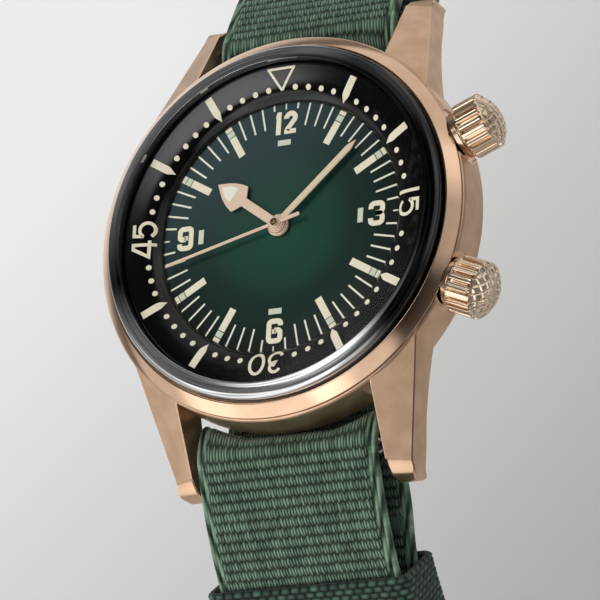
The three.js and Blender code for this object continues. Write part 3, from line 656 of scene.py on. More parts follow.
# (r, z) and corner radius
BARREL = [
    (17.6, -7.0, 0.05), (18.7, -7.0, 0.25), (20.6, -5.2, 0.3), (21.1, -4.6, 0.25),
    (21.1, -0.4, 0.16), (20.9, -0.12, 0.12), (20.45, -0.12, 0.03), (20.45, -0.8, 0.03),
    (19.85, -0.8, 0.03), (19.85, -0.12, 0.03), (18.95, -0.12, 0.03), (18.95, -0.95, 0.03),
    (17.6, -0.95, 0.03)]
BEZEL = [
    (19.95, -0.7, 0.03), (20.35, -0.7, 0.03), (20.35, 0.0, 0.02), (20.85, 0.0, 0.04),
    (20.85, 0.12, 0.09), (19.66, 1.12, 0.12), (19.5, 1.08, 0.06), (19.5, 0.0, 0.03),
    (19.95, 0.0, 0.03)]
BACK = [
    (0, -7.6, 0), (16.7, -7.6, 0.1), (16.7, -6.0, 0.02), (17.5, -6.0, 0.1),
    (17.5, -7.06, 0.02), (18.3, -7.06, 0.02), (18.3, -7.7, 0.12), (17.2, -8.6, 0.2),
    (15.4, -9.7, 0.25), (14.4, -9.7, 0.03), (14.3, -9.58, 0.03), (13.9, -9.58, 0.03),
    (13.8, -9.7, 0.03), (0, -9.7, 0)]
CRYSTAL_EDGE = [
    (17.7, 1.5, 0.03), (17.7, 2.455, 0.05), (18.2, 2.40, 0.1), (18.95, 2.2, 0.15),
    (19.3, 1.85, 0.15), (19.3, 0.45, 0.05), (18.42, 0.45, 0.03), (18.42, 1.25, 0.03)]


def filleted(rows, steps=4, closed=True):
    """Rounds an outline whose third column is the corner radius."""
    return fillet([row[:2] for row in rows], [row[2] for row in rows], steps, closed)


barrel = lathe("case_barrel", filleted(BARREL), 288, [SATIN_ROUND, POLISHED])
for side in (1, -1):
    crown_recess(barrel, side * CROWN_ANGLE)
for side in (1, -1):
    drill(barrel, 1.3, 15, 22, crown_axis(side * CROWN_ANGLE), 48)
# a wider bore behind the bezel crown
drill(barrel, 1.85, 15, 19.15, crown_axis(CROWN_ANGLE), 48)

# ------------------------------------------------------------------ lugs
LUG_INNER_X = 11.1
LUG_BEND_Y, LUG_FOOT_Y = 24.4, 25.75  # the underside is squeezed between these at the tip
LUG_FLAT_Y, LUG_FLAT_Z = 24.9, -0.02  # up to here only the sloping plane limits the top
# (y, x) of the outer side, in plan
LUG_OUTER = catmull([
    (10.6, 17.1), (11.8, 16.7), (13.4, 16.24), (15.2, 15.82), (17.4, 15.32), (19.4, 14.86),
    (21.4, 14.4), (23.4, 13.94), (24.8, 13.64), (25.6, 13.66), (26.15, 13.5), (26.35, 13.2)], 8)
# (y, z) of the top and tip, then of the underside
LUG_TOP = catmull([
    (10.8, -0.15), (13.0, -0.15), (16.6, -0.15), (17.5, -0.2), (18.8, -0.82), (20.4, -1.72),
    (22.4, -2.98), (24.0, -4.1), (25.1, -4.98), (25.75, -5.72), (26.15, -6.6), (26.35, -7.7),
    (26.2, -8.75), (25.75, -9.2)], 8)
LUG_UNDER = catmull([
    (10.8, -4.2), (12, -4.25), (15, -4.85), (18, -5.75), (20.5, -6.8), (22.5, -7.9),
    (24.4, -8.8), (25.75, -9.22)], 8)


def lug_outer_x(y):
    return interp(LUG_OUTER, y)


def lug_inner_x(y, radius):
    """The inner side runs inside a circle of the case, then straight."""
    on_circle = sqrt(max(0, radius ** 2 - y * y))
    return max(LUG_INNER_X, min(on_circle, lug_outer_x(y) - 0.8))


def lug_top_z(x, y, z):
    """Lowers z to one plane that slopes down outwards and towards the tip."""
    return min(z, (12.654 - 0.399 * x - 0.4725 * y) / 0.7856)


def lug_ring(i):
    """Nine points round the lug at one station of its top."""
    y_top, z_top = LUG_TOP[i]
    y_under = y_top
    if y_top > LUG_BEND_Y:
        first = next(k for k, point in enumerate(LUG_TOP) if point[0] > LUG_BEND_Y)
        share = (i - first + 1) / (len(LUG_TOP) - first)
        y_under = LUG_BEND_Y + (LUG_FOOT_Y - LUG_BEND_Y) * share
    if y_top < LUG_FLAT_Y:
        z_top = LUG_FLAT_Z
    out_top, out_under = lug_outer_x(y_top), lug_outer_x(y_under)
    in_top, in_under = lug_inner_x(y_top, 20.6), lug_inner_x(y_under, 19.6)
    # top and under are the (y, z) ends of the outer side
    top = Vector((y_top, lug_top_z(out_top, y_top, z_top)))
    under = Vector((y_under, interp(LUG_UNDER, y_under)))
    length = (under - top).length
    down = (under - top) / max(length, 1e-6)
    cut_top, cut_under = min(0.12, length * 0.3), min(0.18, length * 0.2)
    cut_in = min(0.16, (out_top - in_top) * 0.2)
    side_top, side_under = top + down * cut_top, under - down * cut_under
    middle = [side_top + (side_under - side_top) * share for share in (0.33, 0.66)]
    return [
        (in_top, y_top, lug_top_z(in_top, y_top, z_top) - cut_in),
        (in_top + cut_in, y_top, lug_top_z(in_top + cut_in, y_top, z_top)),
        (out_top - cut_top, y_top, lug_top_z(out_top - cut_top, y_top, z_top)),
        (out_top - cut_top * 0.12, *side_top),
        *((lug_outer_x(p.x) if p.x < 26 else out_top, *p) for p in middle),
        (out_under, *side_under), (out_under - cut_under, *under), (in_under, *under)]


def lug(name, side, end):
    verts, faces, index = [], [], []
    rings, count = len(LUG_TOP), 9
    for i in range(rings):
        verts += [(side * x, end * y, z) for x, y, z in lug_ring(i)]
    for i in range(rings - 1):
        faces += bridge(i * count, (i + 1) * count, count)
        index += [1 if k in (0, 2) else 0 for k in range(count)]  # polished chamfers
    for i in (0, rings - 1):
        faces.append([i * count + k for k in range(count)])
        index.append(0)
    piece = build(name, verts, faces, [SATIN_LONG, POLISHED], index=index)
    if side > 0:
        crown_recess(piece, end * CROWN_ANGLE)
    drill(piece, 0.52, 10.5 * side, 12.9 * side,
          lambda x, y, z: (x, BAR_Y * end + y, BAR_Z + z), 32)
    piece.data.set_sharp_from_angle(angle=radians(26))
    return piece


lugs = [lug(f"case_lug_{hour}_{side_name}", side, end)
        for hour, end in ((12, 1), (6, -1)) for side_name, side in (("right", 1), ("left", -1))]
assign(barrel, "case", "case_middle", slot="bronze")
for piece in lugs:
    assign(piece, "case", slot="bronze")
assign(lathe("bezel", filleted(BEZEL), 288, POLISHED),
       "case", "bezel_ring", slot="bronze_polished")


def case_back():
    """The back cover, with six notches round its rim."""
    profile = filleted(BACK, steps=3, closed=False)
    cover = lathe("case_back_cover", profile, 160, SATIN_ROUND, closed=False)
    inner, outer, half = 15.8, 19.5, 0.9
    corners = ((inner, -half), (outer, -half), (outer, half), (inner, half))
    for i in range(6):
        ca, sa = cos(radians(60 * i + 30)), sin(radians(60 * i + 30))
        verts = [(x * ca - y * sa, x * sa + y * ca, z) for z in (-12, -8.35) for x, y in corners]
        cut_away(cover, verts, [[0, 1, 2, 3], [4, 5, 6, 7], [0, 1, 5, 4],
                                [1, 2, 6, 5], [2, 3, 7, 6], [3, 0, 4, 7]])
    return cover


assign(case_back(), "case", "case_back", slot="bronze")

# ------------------------------------------------------------------ crystal
# (r, z) from the middle outwards
DOME = catmull([(0, 3.0), (5.5, 2.955), (11.0, 2.82), (15.0, 2.64), (17.7, 2.46)], 6)
assign(lathe("crystal_dome", DOME[::-1], 192, GLASS, closed=False),
       "case", "crystal", slot="sapphire")
assign(lathe("crystal_rim", filleted(CRYSTAL_EDGE), 288, GLASS_EDGE), "case", slot="sapphire")

# ------------------------------------------------------------------ inner bezel
# (r, z) of the visible slope, then of the hidden sides
FLANGE = catmull([(13.65, -0.13), (13.78, 0.12), (14.05, 0.42), (14.6, 0.78), (15.5, 1.05),
                  (16.5, 1.22), (17.35, 1.33)], 6)
FLANGE_BODY = [(17.45, 1.33), (18.3, 1.0), (18.3, -0.33), (16.7, -0.33), (16.7, -0.13)]
assign(lathe("inner_bezel_ring", FLANGE + FLANGE_BODY, 288, FLANGE_PAINT),
       "inner_bezel", "inner_bezel", slot="flange_black")


# ------------------------------------------------------------------ printing tools
class Print:
    """Collects thin shapes raised above a surface, as one object."""

    def __init__(self, surface, up):
        self.verts, self.faces, self.surface, self.up = [], [], surface, up

    def add(self, points, quads, place):
        """place maps a local point to plan x, y."""
        first, count = len(self.verts), len(points)
        plan = [place(*p) for p in points]
        for level in (self.up, -0.03):
            self.verts += [(x, y, self.surface(x, y) + level) for x, y in plan]
        uses = {}
        for quad in quads:
            self.faces.append([first + i for i in quad])
            for a, b in zip(quad, quad[1:] + quad[:1]):
                edge = (min(a, b), max(a, b))
                uses[edge] = uses.get(edge, 0) + 1
        for (a, b), times in uses.items():
            if times == 1:
                self.faces.append([first + a, first + b, first + count + b, first + count + a])

    def stroke(self, points, width, place, closed=False):
        points = [Vector(p) for p in points]
        count = len(points)
        left, right = [], []
        for i, p in enumerate(points):
            before = p - (points[i - 1] if i > 0 or closed else p)
            after = (points[(i + 1) % count] if i < count - 1 or closed else p) - p
            entering = (before if before.length > 1e-9 else after).normalized()
            leaving = after.normalized() if after.length > 1e-9 else entering
            along = (entering + leaving).normalized()
            normal = Vector((-along.y, along.x))
            mitre = max(0.35, normal.dot(Vector((-entering.y, entering.x))))
            reach = width / 2 / mitre
            left.append(p + normal * reach)
            right.append(p - normal * reach)
        quads = bridge(0, count, count, closed)
        self.add([tuple(p) for p in left + right], quads, place)

    def poly(self, points, place):
        self.add(points, [list(range(len(points)))], place)

    def strip(self, stations, place):
        """stations are (distance along, half width)."""
        count = len(stations)
        points = [(-w, along) for along, w in stations] + [(w, along) for along, w in stations]
        self.add(points, bridge(0, count, count, closed=False), place)

    def finish(self, name, material, body, slot):
        assign(build(name, self.verts, self.faces, material, 50), body, slot=slot)


def at_minute(minute):
    """Places a point given clockwise and outwards from a minute of the dial."""
    ca, sa = cos(radians(6 * minute)), sin(radians(6 * minute))
    return lambda side, out: (out * sa + side * ca, out * ca - side * sa)


def upright(x, y):
    return lambda u, v: (x + u, y + v)


def arc(x, y, rx, ry, start, end, steps=20):
    angles = [radians(start + (end - start) * i / steps) for i in range(steps + 1)]
    return [(x + rx * cos(a), y + ry * sin(a)) for a in angles]


def dense(points, step=0.25):
    """Splits a polyline into short pieces."""
    line = [points[0]]
    for a, b in zip(points, points[1:]):
        count = max(1, int(dist(a, b) / step))
        line += [(a[0] + (b[0] - a[0]) * i / count, a[1] + (b[1] - a[1]) * i / count)
                 for i in range(1, count + 1)]
    return line


# ------------------------------------------------------------------ inner bezel printing
def print_inner_bezel():
    """Bars, dots, the numbers 15, 30 and 45, and a triangle at 12."""
    marks = Print(lambda x, y: interp(FLANGE, hypot(x, y)), 0.022)
    # (radius, half width) of a five-minute bar
    bar = [(14.25, 0.02), (14.5, 0.14), (14.85, 0.33), (15.1, 0.41)]
    bar += [(15.1 + 2.05 * k / 6, 0.42) for k in range(1, 7)]
    dot = [(0.3 * cos(t), 14.99 + 0.3 * sin(t)) for t in circle(20)]
    for minute in [m for m in range(60) if m % 15 not in (0, 1, 14)] + [1, 59]:
        if minute % 5 == 0:
            marks.strip(bar, at_minute(minute))
        else:
            marks.poly(dot, at_minute(minute))

    five = [(0.62, 1.12), (-0.64, 1.12), (-0.68, 0.22)]
    five += arc(0.0, -0.30, 0.80, 0.82, 142, -148, 26)
    four_post = [(0.50, 1.3), (0.50, -1.3)]
    four_arm = [(0.50, 1.12), (0.02, 1.12), (-0.86, -0.60), (0.98, -0.60)]
    three = arc(0.0, 0.56, 0.58, 0.56, 160, -90) + arc(0.0, -0.40, 0.74, 0.74, 88, -155, 26)[1:]
    zero = arc(0, 0, 0.78, 1.12, 0, 348, 29)
    one = [(0, 1.28), (0, -1.28)]
    # minute, middle radius, stroke width, then (sideways shift, points, closed)
    for minute, middle, width, strokes in (
            (45, 15.4, 0.36, [(-1.02, four_post, False), (-1.02, four_arm, False),
                              (1.12, five, False)]),
            (30, 15.3, 0.34, [(-1.02, three, False), (1.12, zero, True)]),
            (15, 15.35, 0.36, [(-1.42, one, False), (0.28, five, False)])):
        for shift, points, closed in strokes:
            line = [(shift + x, middle + y) for x, y in dense(points)]
            marks.stroke(line, width, at_minute(minute), closed)
    for side in ([(-1.62, 17.05), (1.62, 17.05)], [(-1.5, 17.05), (-0.02, 14.78)],
                 [(1.5, 17.05), (0.02, 14.78)]):
        marks.stroke(dense(side, 0.3), 0.26, at_minute(0))
    marks.finish("inner_bezel_printing", CREAM, "inner_bezel", "flange_black")


print_inner_bezel()

# ------------------------------------------------------------------ dial
DIAL_Z = -0.25
# (r, z)
DISC = [(1.15, DIAL_Z - 0.4), (16.2, DIAL_Z - 0.4), (16.2, DIAL_Z), (1.2, DIAL_Z),
        (1.15, DIAL_Z - 0.05)]
assign(lathe("dial_disc", DISC, 192, DIAL_PAINT), "case", "dial", slot="dial_green")


def dial_print(up):
    return Print(lambda x, y: DIAL_Z, up)


def print_minutes(lines, blocks, lumes):
    """A line for each minute, and a three-part block at the hours between quarters."""
    for minute in range(60):
        place = at_minute(minute)
        if minute % 15 == 0:
            start = 13.1 if minute == 30 else 13.02
            lines.strip([(start, 0.075), (13.7, 0.075)], place)
        elif minute % 5 == 0:
            blocks.strip([(9.78, 0.4), (12.36, 0.4)], place)
            lumes.strip([(12.46, 0.4), (13.1, 0.4)], place)
            blocks.strip([(13.2, 0.4), (13.62, 0.4)], place)
        else:
            start = 11.2
            if minute in (1, 59):
                start = 13.05
            elif minute % 15 in (1, 14):  # short beside a numeral
                start = 12.35
            lines.strip([(start, 0.1), (13.72, 0.1)], place)


def print_numerals(blocks):
    """12, 6, 9 and 3, all upright."""
    width = 0.56
    twelve_y = 11.53
    blocks.poly([(-1.15, 0.62), (-0.98, 1.27), (-0.5, 1.27), (-0.5, -1.27), (-1.06, -1.27),
                 (-1.06, 0.62)], upright(0.0, twelve_y))
    two = [(0.02, 0.45), (0.02, 0.56)] + arc(0.55, 0.5, 0.5, 0.49, 168, -28, 18)
    two += [(0.80, 0.02), (0.12, -0.86)]
    blocks.stroke(dense(two, 0.2), width, upright(0.08, twelve_y))
    blocks.strip([(-1.27, 0.68), (-0.76, 0.68)], upright(0.60, twelve_y))

    six = [(0.66, 0.55), (0.66, 0.78), (0.60, 0.93), (0.46, 1.04), (0.28, 1.07), (-0.28, 1.07),
           (-0.46, 1.04), (-0.6, 0.93), (-0.66, 0.78), (-0.66, -0.78), (-0.6, -0.93),
           (-0.46, -1.04), (-0.28, -1.07), (0.28, -1.07), (0.46, -1.04), (0.6, -0.93),
           (0.66, -0.78), (0.66, -0.2), (0.6, -0.05), (0.46, 0.06), (0.28, 0.08), (-0.02, 0.08)]
    blocks.stroke(six, width, upright(0.05, -11.45))
    blocks.strip([(-0.28, 0.2), (0.2, 0.2)], upright(-0.02, -11.45))
    blocks.stroke([(-x, -y) for x, y in six], width, upright(-11.12, 0.06))
    blocks.strip([(-0.2, 0.2), (0.28, 0.2)], upright(-11.05, 0.06))

    three_top = [(-0.66, 0.5), (-0.66, 0.74), (-0.6, 0.92), (-0.44, 1.05), (-0.24, 1.08),
                 (0.24, 1.08), (0.44, 1.05), (0.6, 0.92), (0.66, 0.74), (0.66, 0.42),
                 (0.6, 0.22), (0.44, 0.06), (0.2, 0.02), (-0.12, 0.02)]
    for flip in (1, -1):
        blocks.stroke([(x, flip * y) for x, y in three_top], width, upright(11.15, -0.02))


def print_dial():
    lines, blocks, lumes = dial_print(0.02), dial_print(0.045), dial_print(0.05)
    print_minutes(lines, blocks, lumes)
    print_numerals(blocks)
    # plots inside the numerals: centre, then half sizes
    for x, y, half_x, half_y in ((0.0, 9.3, 0.75, 0.3), (0.0, -9.3, 0.75, 0.3),
                                 (9.3, 0.0, 0.3, 0.78), (-9.25, 0.0, 0.3, 0.78)):
        lumes.poly([(-half_x, -half_y), (half_x, -half_y), (half_x, half_y), (-half_x, half_y)],
                   upright(x, y))
    lines.finish("dial_minute_lines", CREAM_LINE, "case", "dial_green")
    blocks.finish("dial_numerals_and_blocks", CREAM, "case", "dial_green")
    lumes.finish("dial_lume_plots", LUME, "case", "dial_green")


print_dial()

# ------------------------------------------------------------------ hands
HOUR_ANGLE, MINUTE_ANGLE, SECONDS_ANGLE = -53.5, 47.3, -104.2  # clockwise from 12


def hand_part(name, body, angle, outline, low, high, material, edge, *replaced):
    """A plate drawn towards 12 and turned clockwise to its place."""
    ca, sa = cos(radians(angle)), sin(radians(angle))
    piece = plate(name, outline, low, high,
                  lambda x, y, z: (x * ca + y * sa, -x * sa + y * ca, z), material, edge)
    assign(piece, body, *replaced, slot="bronze_polished")


def mirrored(right):
    """Closes an outline from its right side, which ends at the tip on x = 0."""
    return right + [(-x, y) for x, y in reversed(right[:-1])]


def hand_outline(half_width, hub_radius, right, steps=44):
    """A round hub and an arm; right is the arm's right side from the hub to the tip."""
    start = asin(half_width / hub_radius)
    angles = [start + (2 * pi - 2 * start) * i / steps for i in range(steps + 1)]
    hub = [(hub_radius * sin(t), hub_radius * cos(t)) for t in angles]
    return hub + [(-x, y) for x, y in right[:-1]] + right[:0:-1] + right[:1]


def seconds_outline():
    radius, half = 0.62, 0.17
    start = asin(half / radius)
    angles = [start + (pi - 2 * start) * i / 16 for i in range(17)]
    right = [(radius * sin(t), radius * cos(t)) for t in angles]
    left = [(-x, y) for x, y in reversed(right)]
    tip = [(-half, 13.0), (-half * 0.7, 13.1), (half * 0.7, 13.1), (half, 13.0)]
    tail = [(0.21, -1.2), (0.21, -2.8), (0.12, -2.9), (-0.12, -2.9), (-0.21, -2.8),
            (-0.21, -1.2)]
    return tip + right + tail + left


def hub(name, body, profile, radius):
    piece = lathe(name, fillet(profile, radius, 3), 48, HAND_METAL)
    assign(piece, body, slot="bronze_polished")


HOUR_HEAD = catmull([(1.60, 5.82), (1.40, 6.75), (0.92, 7.85), (0.0, 9.15)], 6)
hand_part("hour_hand_frame", "hour", HOUR_ANGLE,
          hand_outline(0.5, 1.2, [(0.5, 5.15)] + HOUR_HEAD),
          0.1, 0.26, HAND_METAL, 0.06, "hour_hand")
hand_part("hour_hand_lume", "hour", HOUR_ANGLE,
          mirrored([(0.78, 6.62), (0.84, 6.95), (0.62, 7.62), (0.30, 8.12), (0.0, 8.48)]),
          0.2, 0.29, LUME_BRIGHT, 0.03)
hand_part("minute_hand_frame", "minute", MINUTE_ANGLE,
          hand_outline(0.37, 0.95, [(0.37, 10.9), (0.0, 12.0)]),
          0.45, 0.6, HAND_METAL, 0.05, "minute_hand")
hand_part("minute_hand_lume", "minute", MINUTE_ANGLE,
          mirrored([(0.2, 1.7), (0.22, 10.6), (0.0, 11.25)]), 0.55, 0.625, LUME_CREAM, 0.02)
hand_part("seconds_hand_bar", "seconds", SECONDS_ANGLE, seconds_outline(),
          0.80, 0.92, HAND_METAL, 0.035, "seconds_hand")
hub("seconds_hub_cap", "seconds",
    [(0.2, 0.62), (0.45, 0.62), (0.45, 1.16), (0.4, 1.2), (0.17, 1.2), (0.15, 1.1),
     (0.0001, 1.08), (0.0001, 0.9)], 0.03)
hub("minute_hub_boss", "minute",
    [(0.56, 0.28), (0.82, 0.28), (0.82, 0.72), (0.74, 0.78), (0.56, 0.78)], 0.04)
hub("hour_hub_boss", "hour",
    [(0.98, -0.16), (1.12, -0.16), (1.12, 0.34), (1.02, 0.4), (0.98, 0.4)], 0.03)

# ------------------------------------------------------------------ crowns
FLUTES, FLUTE_STEPS = 20, 16
DOME_FOOT, DOME_RADIUS, DOME_RINGS = 24.66, 2.76, 44
DOME_RISE, DOME_SPREAD, DOME_POWER = 1.3, 2.98, 2.4  # curve of the domed end
GROOVE_PITCH, GROOVE_DEPTH, DIAGONAL = 0.78, 0.22, 1.4142
# (distance out, radius, share of the flute's depth)
CROWN_SIDE = [
    (22.6, 1.95, 0), (20.97, 1.95, 0), (20.95, 2.1, 0), (20.95, 2.5, 0), (21.4, 2.56, 0),
    (21.46, 2.62, 0), (21.62, 2.66, 0), (21.66, 2.78, 0.1), (21.72, 2.93, 0.45),
    (21.8, 2.99, 0.8), (21.95, 3.0, 1), *((21.95 + 2.25 * k / 8, 3.0, 1) for k in range(1, 9)),
    (24.36, 2.99, 0.85), (24.5, 2.95, 0.5), (24.6, 2.86, 0.15),
    (DOME_FOOT, DOME_RADIUS, 0)]


def unit(value):
    return max(0.0, min(1.0, value))


def groove_lift(side, up, radius):
    """Depth, as a negative lift, of two crossed sets of diagonal grooves."""
    from_line = [abs((c / DIAGONAL / GROOVE_PITCH % 1.0) - 0.5) * 2
                 for c in (side + up, side - up)]
    height = min(1 - from_line[0], 1 - from_line[1])
    fade = unit((2.72 - radius) / 0.12)
    return fade * GROOVE_DEPTH * (min(1.0, height * 2.8) - 1.0)


def crown(node, angle):
    """A fluted knob with a hollow foot and a domed, cross-grooved end."""
    place = crown_axis(angle)
    around = FLUTES * FLUTE_STEPS
    verts = []
    for out, radius, flute in CROWN_SIDE:
        for i, t in enumerate(circle(around)):
            from_flute = abs((i % FLUTE_STEPS) / FLUTE_STEPS - 0.5)
            depth = 0.42 * unit((0.2 - from_flute) / 0.1) + 0.03 * (from_flute * 2) ** 6
            r = radius - flute * depth
            verts.append(place(out, r * cos(t), r * sin(t)))
    foot_drop = DOME_RISE * (1 - (DOME_RADIUS / DOME_SPREAD) ** DOME_POWER)
    for k in range(1, DOME_RINGS + 1):
        radius = DOME_RADIUS * (1 - k / DOME_RINGS)
        rise = DOME_RISE * (1 - min(1.0, radius / DOME_SPREAD) ** DOME_POWER)
        out = DOME_FOOT + rise - foot_drop
        for t in circle(around):
            side, up = radius * cos(t), radius * sin(t)
            verts.append(place(out + groove_lift(side, up, radius), side, up))
    faces = []
    for j in range(len(CROWN_SIDE) + DOME_RINGS - 1):
        faces += bridge(j * around, (j + 1) * around, around)
    # floor of the socket
    faces += [[i, (i + 1) % around, len(verts)] for i in range(around)]
    verts.append(place(23.5, 0, 0))
    piece = build(f"{node}_knob", verts, faces, CROWN_METAL)
    # the last ring of the dome closes to a point
    bm = bmesh.new()
    bm.from_mesh(piece.data)
    bmesh.ops.remove_doubles(bm, verts=bm.verts, dist=1e-7)
    bmesh.ops.recalc_face_normals(bm, faces=bm.faces)
    bm.to_mesh(piece.data)
    bm.free()
    smooth(piece.data, 32)
    assign(piece, node, node, slot="bronze")


crown("time_crown", -CROWN_ANGLE)
crown("bezel_crown", CROWN_ANGLE)

# ------------------------------------------------------------------ strap lines
# A line is a list of (length, y, z, angle below horizontal), drawn towards +Y. The tail
# half is drawn the same way and mirrored to -Y.
WRAP_RADIUS = BAR_RADIUS + 0.15 + STRAP_THICK / 2
LEAVE_ANGLE = 20.0  # slope at which the band leaves the spring bar
WRAP_FROM = 186.0  # where the turn over the bar starts, degrees round it
# (length, angle at its end)
BUCKLE_RUNS = [(20, 46), (26, 60), (26, 80)]
TAIL_RUNS = [(20, 46), (30, 76), (42, 84), (26, 84)]


def strap_line(runs, steps=40):
    angle = LEAVE_ANGLE
    y = BAR_Y + WRAP_RADIUS * sin(radians(angle))
    z = BAR_Z + WRAP_RADIUS * cos(radians(angle))
    t = 0.0
    line = [(t, y, z, angle)]
    for length, end in runs:
        start = angle
        for i in range(1, steps + 1):
            following = start + (end - start) * i / steps
            middle = (angle + following) / 2
            y += length / steps * cos(radians(middle))
            z -= length / steps * sin(radians(middle))
            t += length / steps
            angle = following
            line.append((t, y, z, angle))
    return line


def with_wrap(line):
    """Puts the turn over the spring bar before the line, at lengths below zero."""
    wrap = []
    end = 90 - LEAVE_ANGLE
    for i in range(24):
        a = WRAP_FROM + (end - WRAP_FROM) * i / 24
        wrap.append((-radians(a - end) * WRAP_RADIUS, BAR_Y + WRAP_RADIUS * cos(radians(a)),
                     BAR_Z + WRAP_RADIUS * sin(radians(a)), 90 - a))
    return wrap + line


def measured_line(points):
    """Adds lengths and continuous angles to (y, z) points."""
    length, line = 0.0, []
    for i, (y, z) in enumerate(points):
        if i:
            length += dist(points[i - 1], points[i])
        y0, z0 = points[max(0, i - 1)]
        y1, z1 = points[min(len(points) - 1, i + 1)]
        angle = degrees(atan2(-(z1 - z0), y1 - y0))
        while line and angle - line[-1][3] > 180:
            angle -= 360
        while line and angle - line[-1][3] < -180:
            angle += 360
        line.append((length, y, z, angle))
    return line


def at(line, t):
    if t <= line[0][0]:
        return line[0]
    i = min(bisect_right(line, t, key=lambda p: p[0]) - 1, len(line) - 2)
    p, q = line[i], line[i + 1]
    share = min(1.0, (t - p[0]) / (q[0] - p[0]))
    return tuple(a + (b - a) * share for a, b in zip(p, q))


def section(line, t, mirror=1):
    """Places x and a height above the line, in the cross-section at length t."""
    _, y, z, angle = at(line, t)
    ca, sa = cos(radians(angle)), sin(radians(angle))
    return lambda x, up: (x * mirror, mirror * (y + up * sa), z + up * ca)


def ease(value):
    value = min(1.0, max(0.0, value))
    return value * value * (3 - 2 * value)


BUCKLE_LINE, TAIL_LINE = strap_line(BUCKLE_RUNS), strap_line(TAIL_RUNS)

# ------------------------------------------------------------------ woven bands
HOLES = [60 + 6.5 * i for i in range(8)]  # lengths along the tail
HOLE_RADIUS = 1.05
RIB_DEPTH = 0.12
CORD_HALF = 0.27  # half the width of an edge cord; two lie side by side on each edge
CORD_PAIR = 4 * CORD_HALF


def band_columns(half, columns):
    """The x of each column: two cords, the field, two cords."""
    cords = []
    for middle in (-half + CORD_HALF, -half + 3 * CORD_HALF):
        cords += [middle - 0.26, middle - 0.17, middle, middle + 0.17]
    field = half - CORD_PAIR
    cords.append(-field)
    inside = [-field + 2 * field * k / columns for k in range(1, columns)]
    return cords + inside + [-x for x in reversed(cords)]


def half_height(x, t, half, thick):
    """Half the band's thickness: round over the cords, ribbed between them."""
    x = abs(x)
    if x > half - CORD_PAIR + 1e-6:
        middle = half - CORD_HALF if x > half - 2 * CORD_HALF else half - 3 * CORD_HALF
        q = min(1.0, abs(x - middle) / CORD_HALF)
        return 0.12 + 0.36 * sqrt(max(0.0, 1 - q * q))
    rib = RIB_DEPTH * (1 - abs(sin(pi * t / RIB_PITCH)) ** 0.6)
    return thick / 2 - rib


def band(name, line, start, end, material, mirror=1, half=10.3, thick=STRAP_THICK,
         step=0.145, holes=(), round_end=0.0, columns=22):
    """A woven band along a line, as rows of an upper and a lower set of vertices."""
    rows = max(8, int((end - start) / step))
    xs = band_columns(half, columns)
    count = len(xs)
    verts, uvs = [], []
    for i in range(rows + 1):
        t = start + (end - start) * i / rows
        place = section(line, t, mirror)
        shrink = 1.0
        if round_end and t > end - round_end:
            q = (t - (end - round_end)) / round_end
            shrink = max(0.02, sqrt(max(0.0, 1 - q * q)) ** 0.8)
        for side in (1, -1):
            for x in xs:
                verts.append(place(x * shrink, side * half_height(x, t, half, thick)))
                uvs.append((x, t))

    # cells whose middle falls in a hole are left out, and the corners round them
    # are pulled onto the circle
    pitch = (end - start) / rows
    gone = {(i, k) for i in range(rows if holes else 0) for k in range(count - 1)
            if any(((xs[k] + xs[k + 1]) / 2) ** 2 + (start + pitch * (i + 0.5) - hole) ** 2
                   < HOLE_RADIUS ** 2 for hole in holes)}
    corners = {corner for i, k in gone
               for corner in ((i, k), (i + 1, k), (i, k + 1), (i + 1, k + 1))}
    for i, k in corners:
        if all(cell in gone for cell in ((i - 1, k - 1), (i - 1, k), (i, k - 1), (i, k))):
            continue
        t, x = start + (end - start) * i / rows, xs[k]
        hole = min(holes, key=lambda middle: abs(middle - t))
        radius = hypot(x, t - hole)
        if radius > 1e-6:
            x, t = x * HOLE_RADIUS / radius, hole + (t - hole) * HOLE_RADIUS / radius
            place = section(line, t, mirror)
            for layer, side in ((0, 1), (1, -1)):
                vert = (2 * i + layer) * count + k
                verts[vert] = place(x, side * (thick / 2 - 0.06))
                uvs[vert] = (x, t)

    faces = []
    for i in range(rows):
        a, b = i * 2 * count, (i + 1) * 2 * count
        for k in range(count - 1):
            if (i, k) not in gone:
                faces.append([a + k, a + k + 1, b + k + 1, b + k])
                faces.append([a + count + k, b + count + k, b + count + k + 1, a + count + k + 1])
        faces.append([a, b, b + count, a + count])
        faces.append([a + count - 1, a + 2 * count - 1, b + 2 * count - 1, b + count - 1])
    for i, k in gone:
        # walls of the hole: (neighbour, the two corners it shares)
        for cell, (i1, k1), (i2, k2) in (((i - 1, k), (i, k), (i, k + 1)),
                                         ((i + 1, k), (i + 1, k), (i + 1, k + 1)),
                                         ((i, k - 1), (i, k), (i + 1, k)),
                                         ((i, k + 1), (i, k + 1), (i + 1, k + 1))):
            if cell not in gone:
                p, q = i1 * 2 * count + k1, i2 * 2 * count + k2
                faces.append([p, q, q + count, p + count])
    for a in (0, rows * 2 * count):
        for k in range(count - 1):
            faces.append([a + k, a + count + k, a + count + k + 1, a + k + 1])
    return build(name, verts, faces, material, 70, uvs=uvs)


def whole_band(name, line, material, mirror=1, **options):
    return band(name, line, 0.0, line[-1][0], material, mirror, thick=LAYER_THICK, **options)


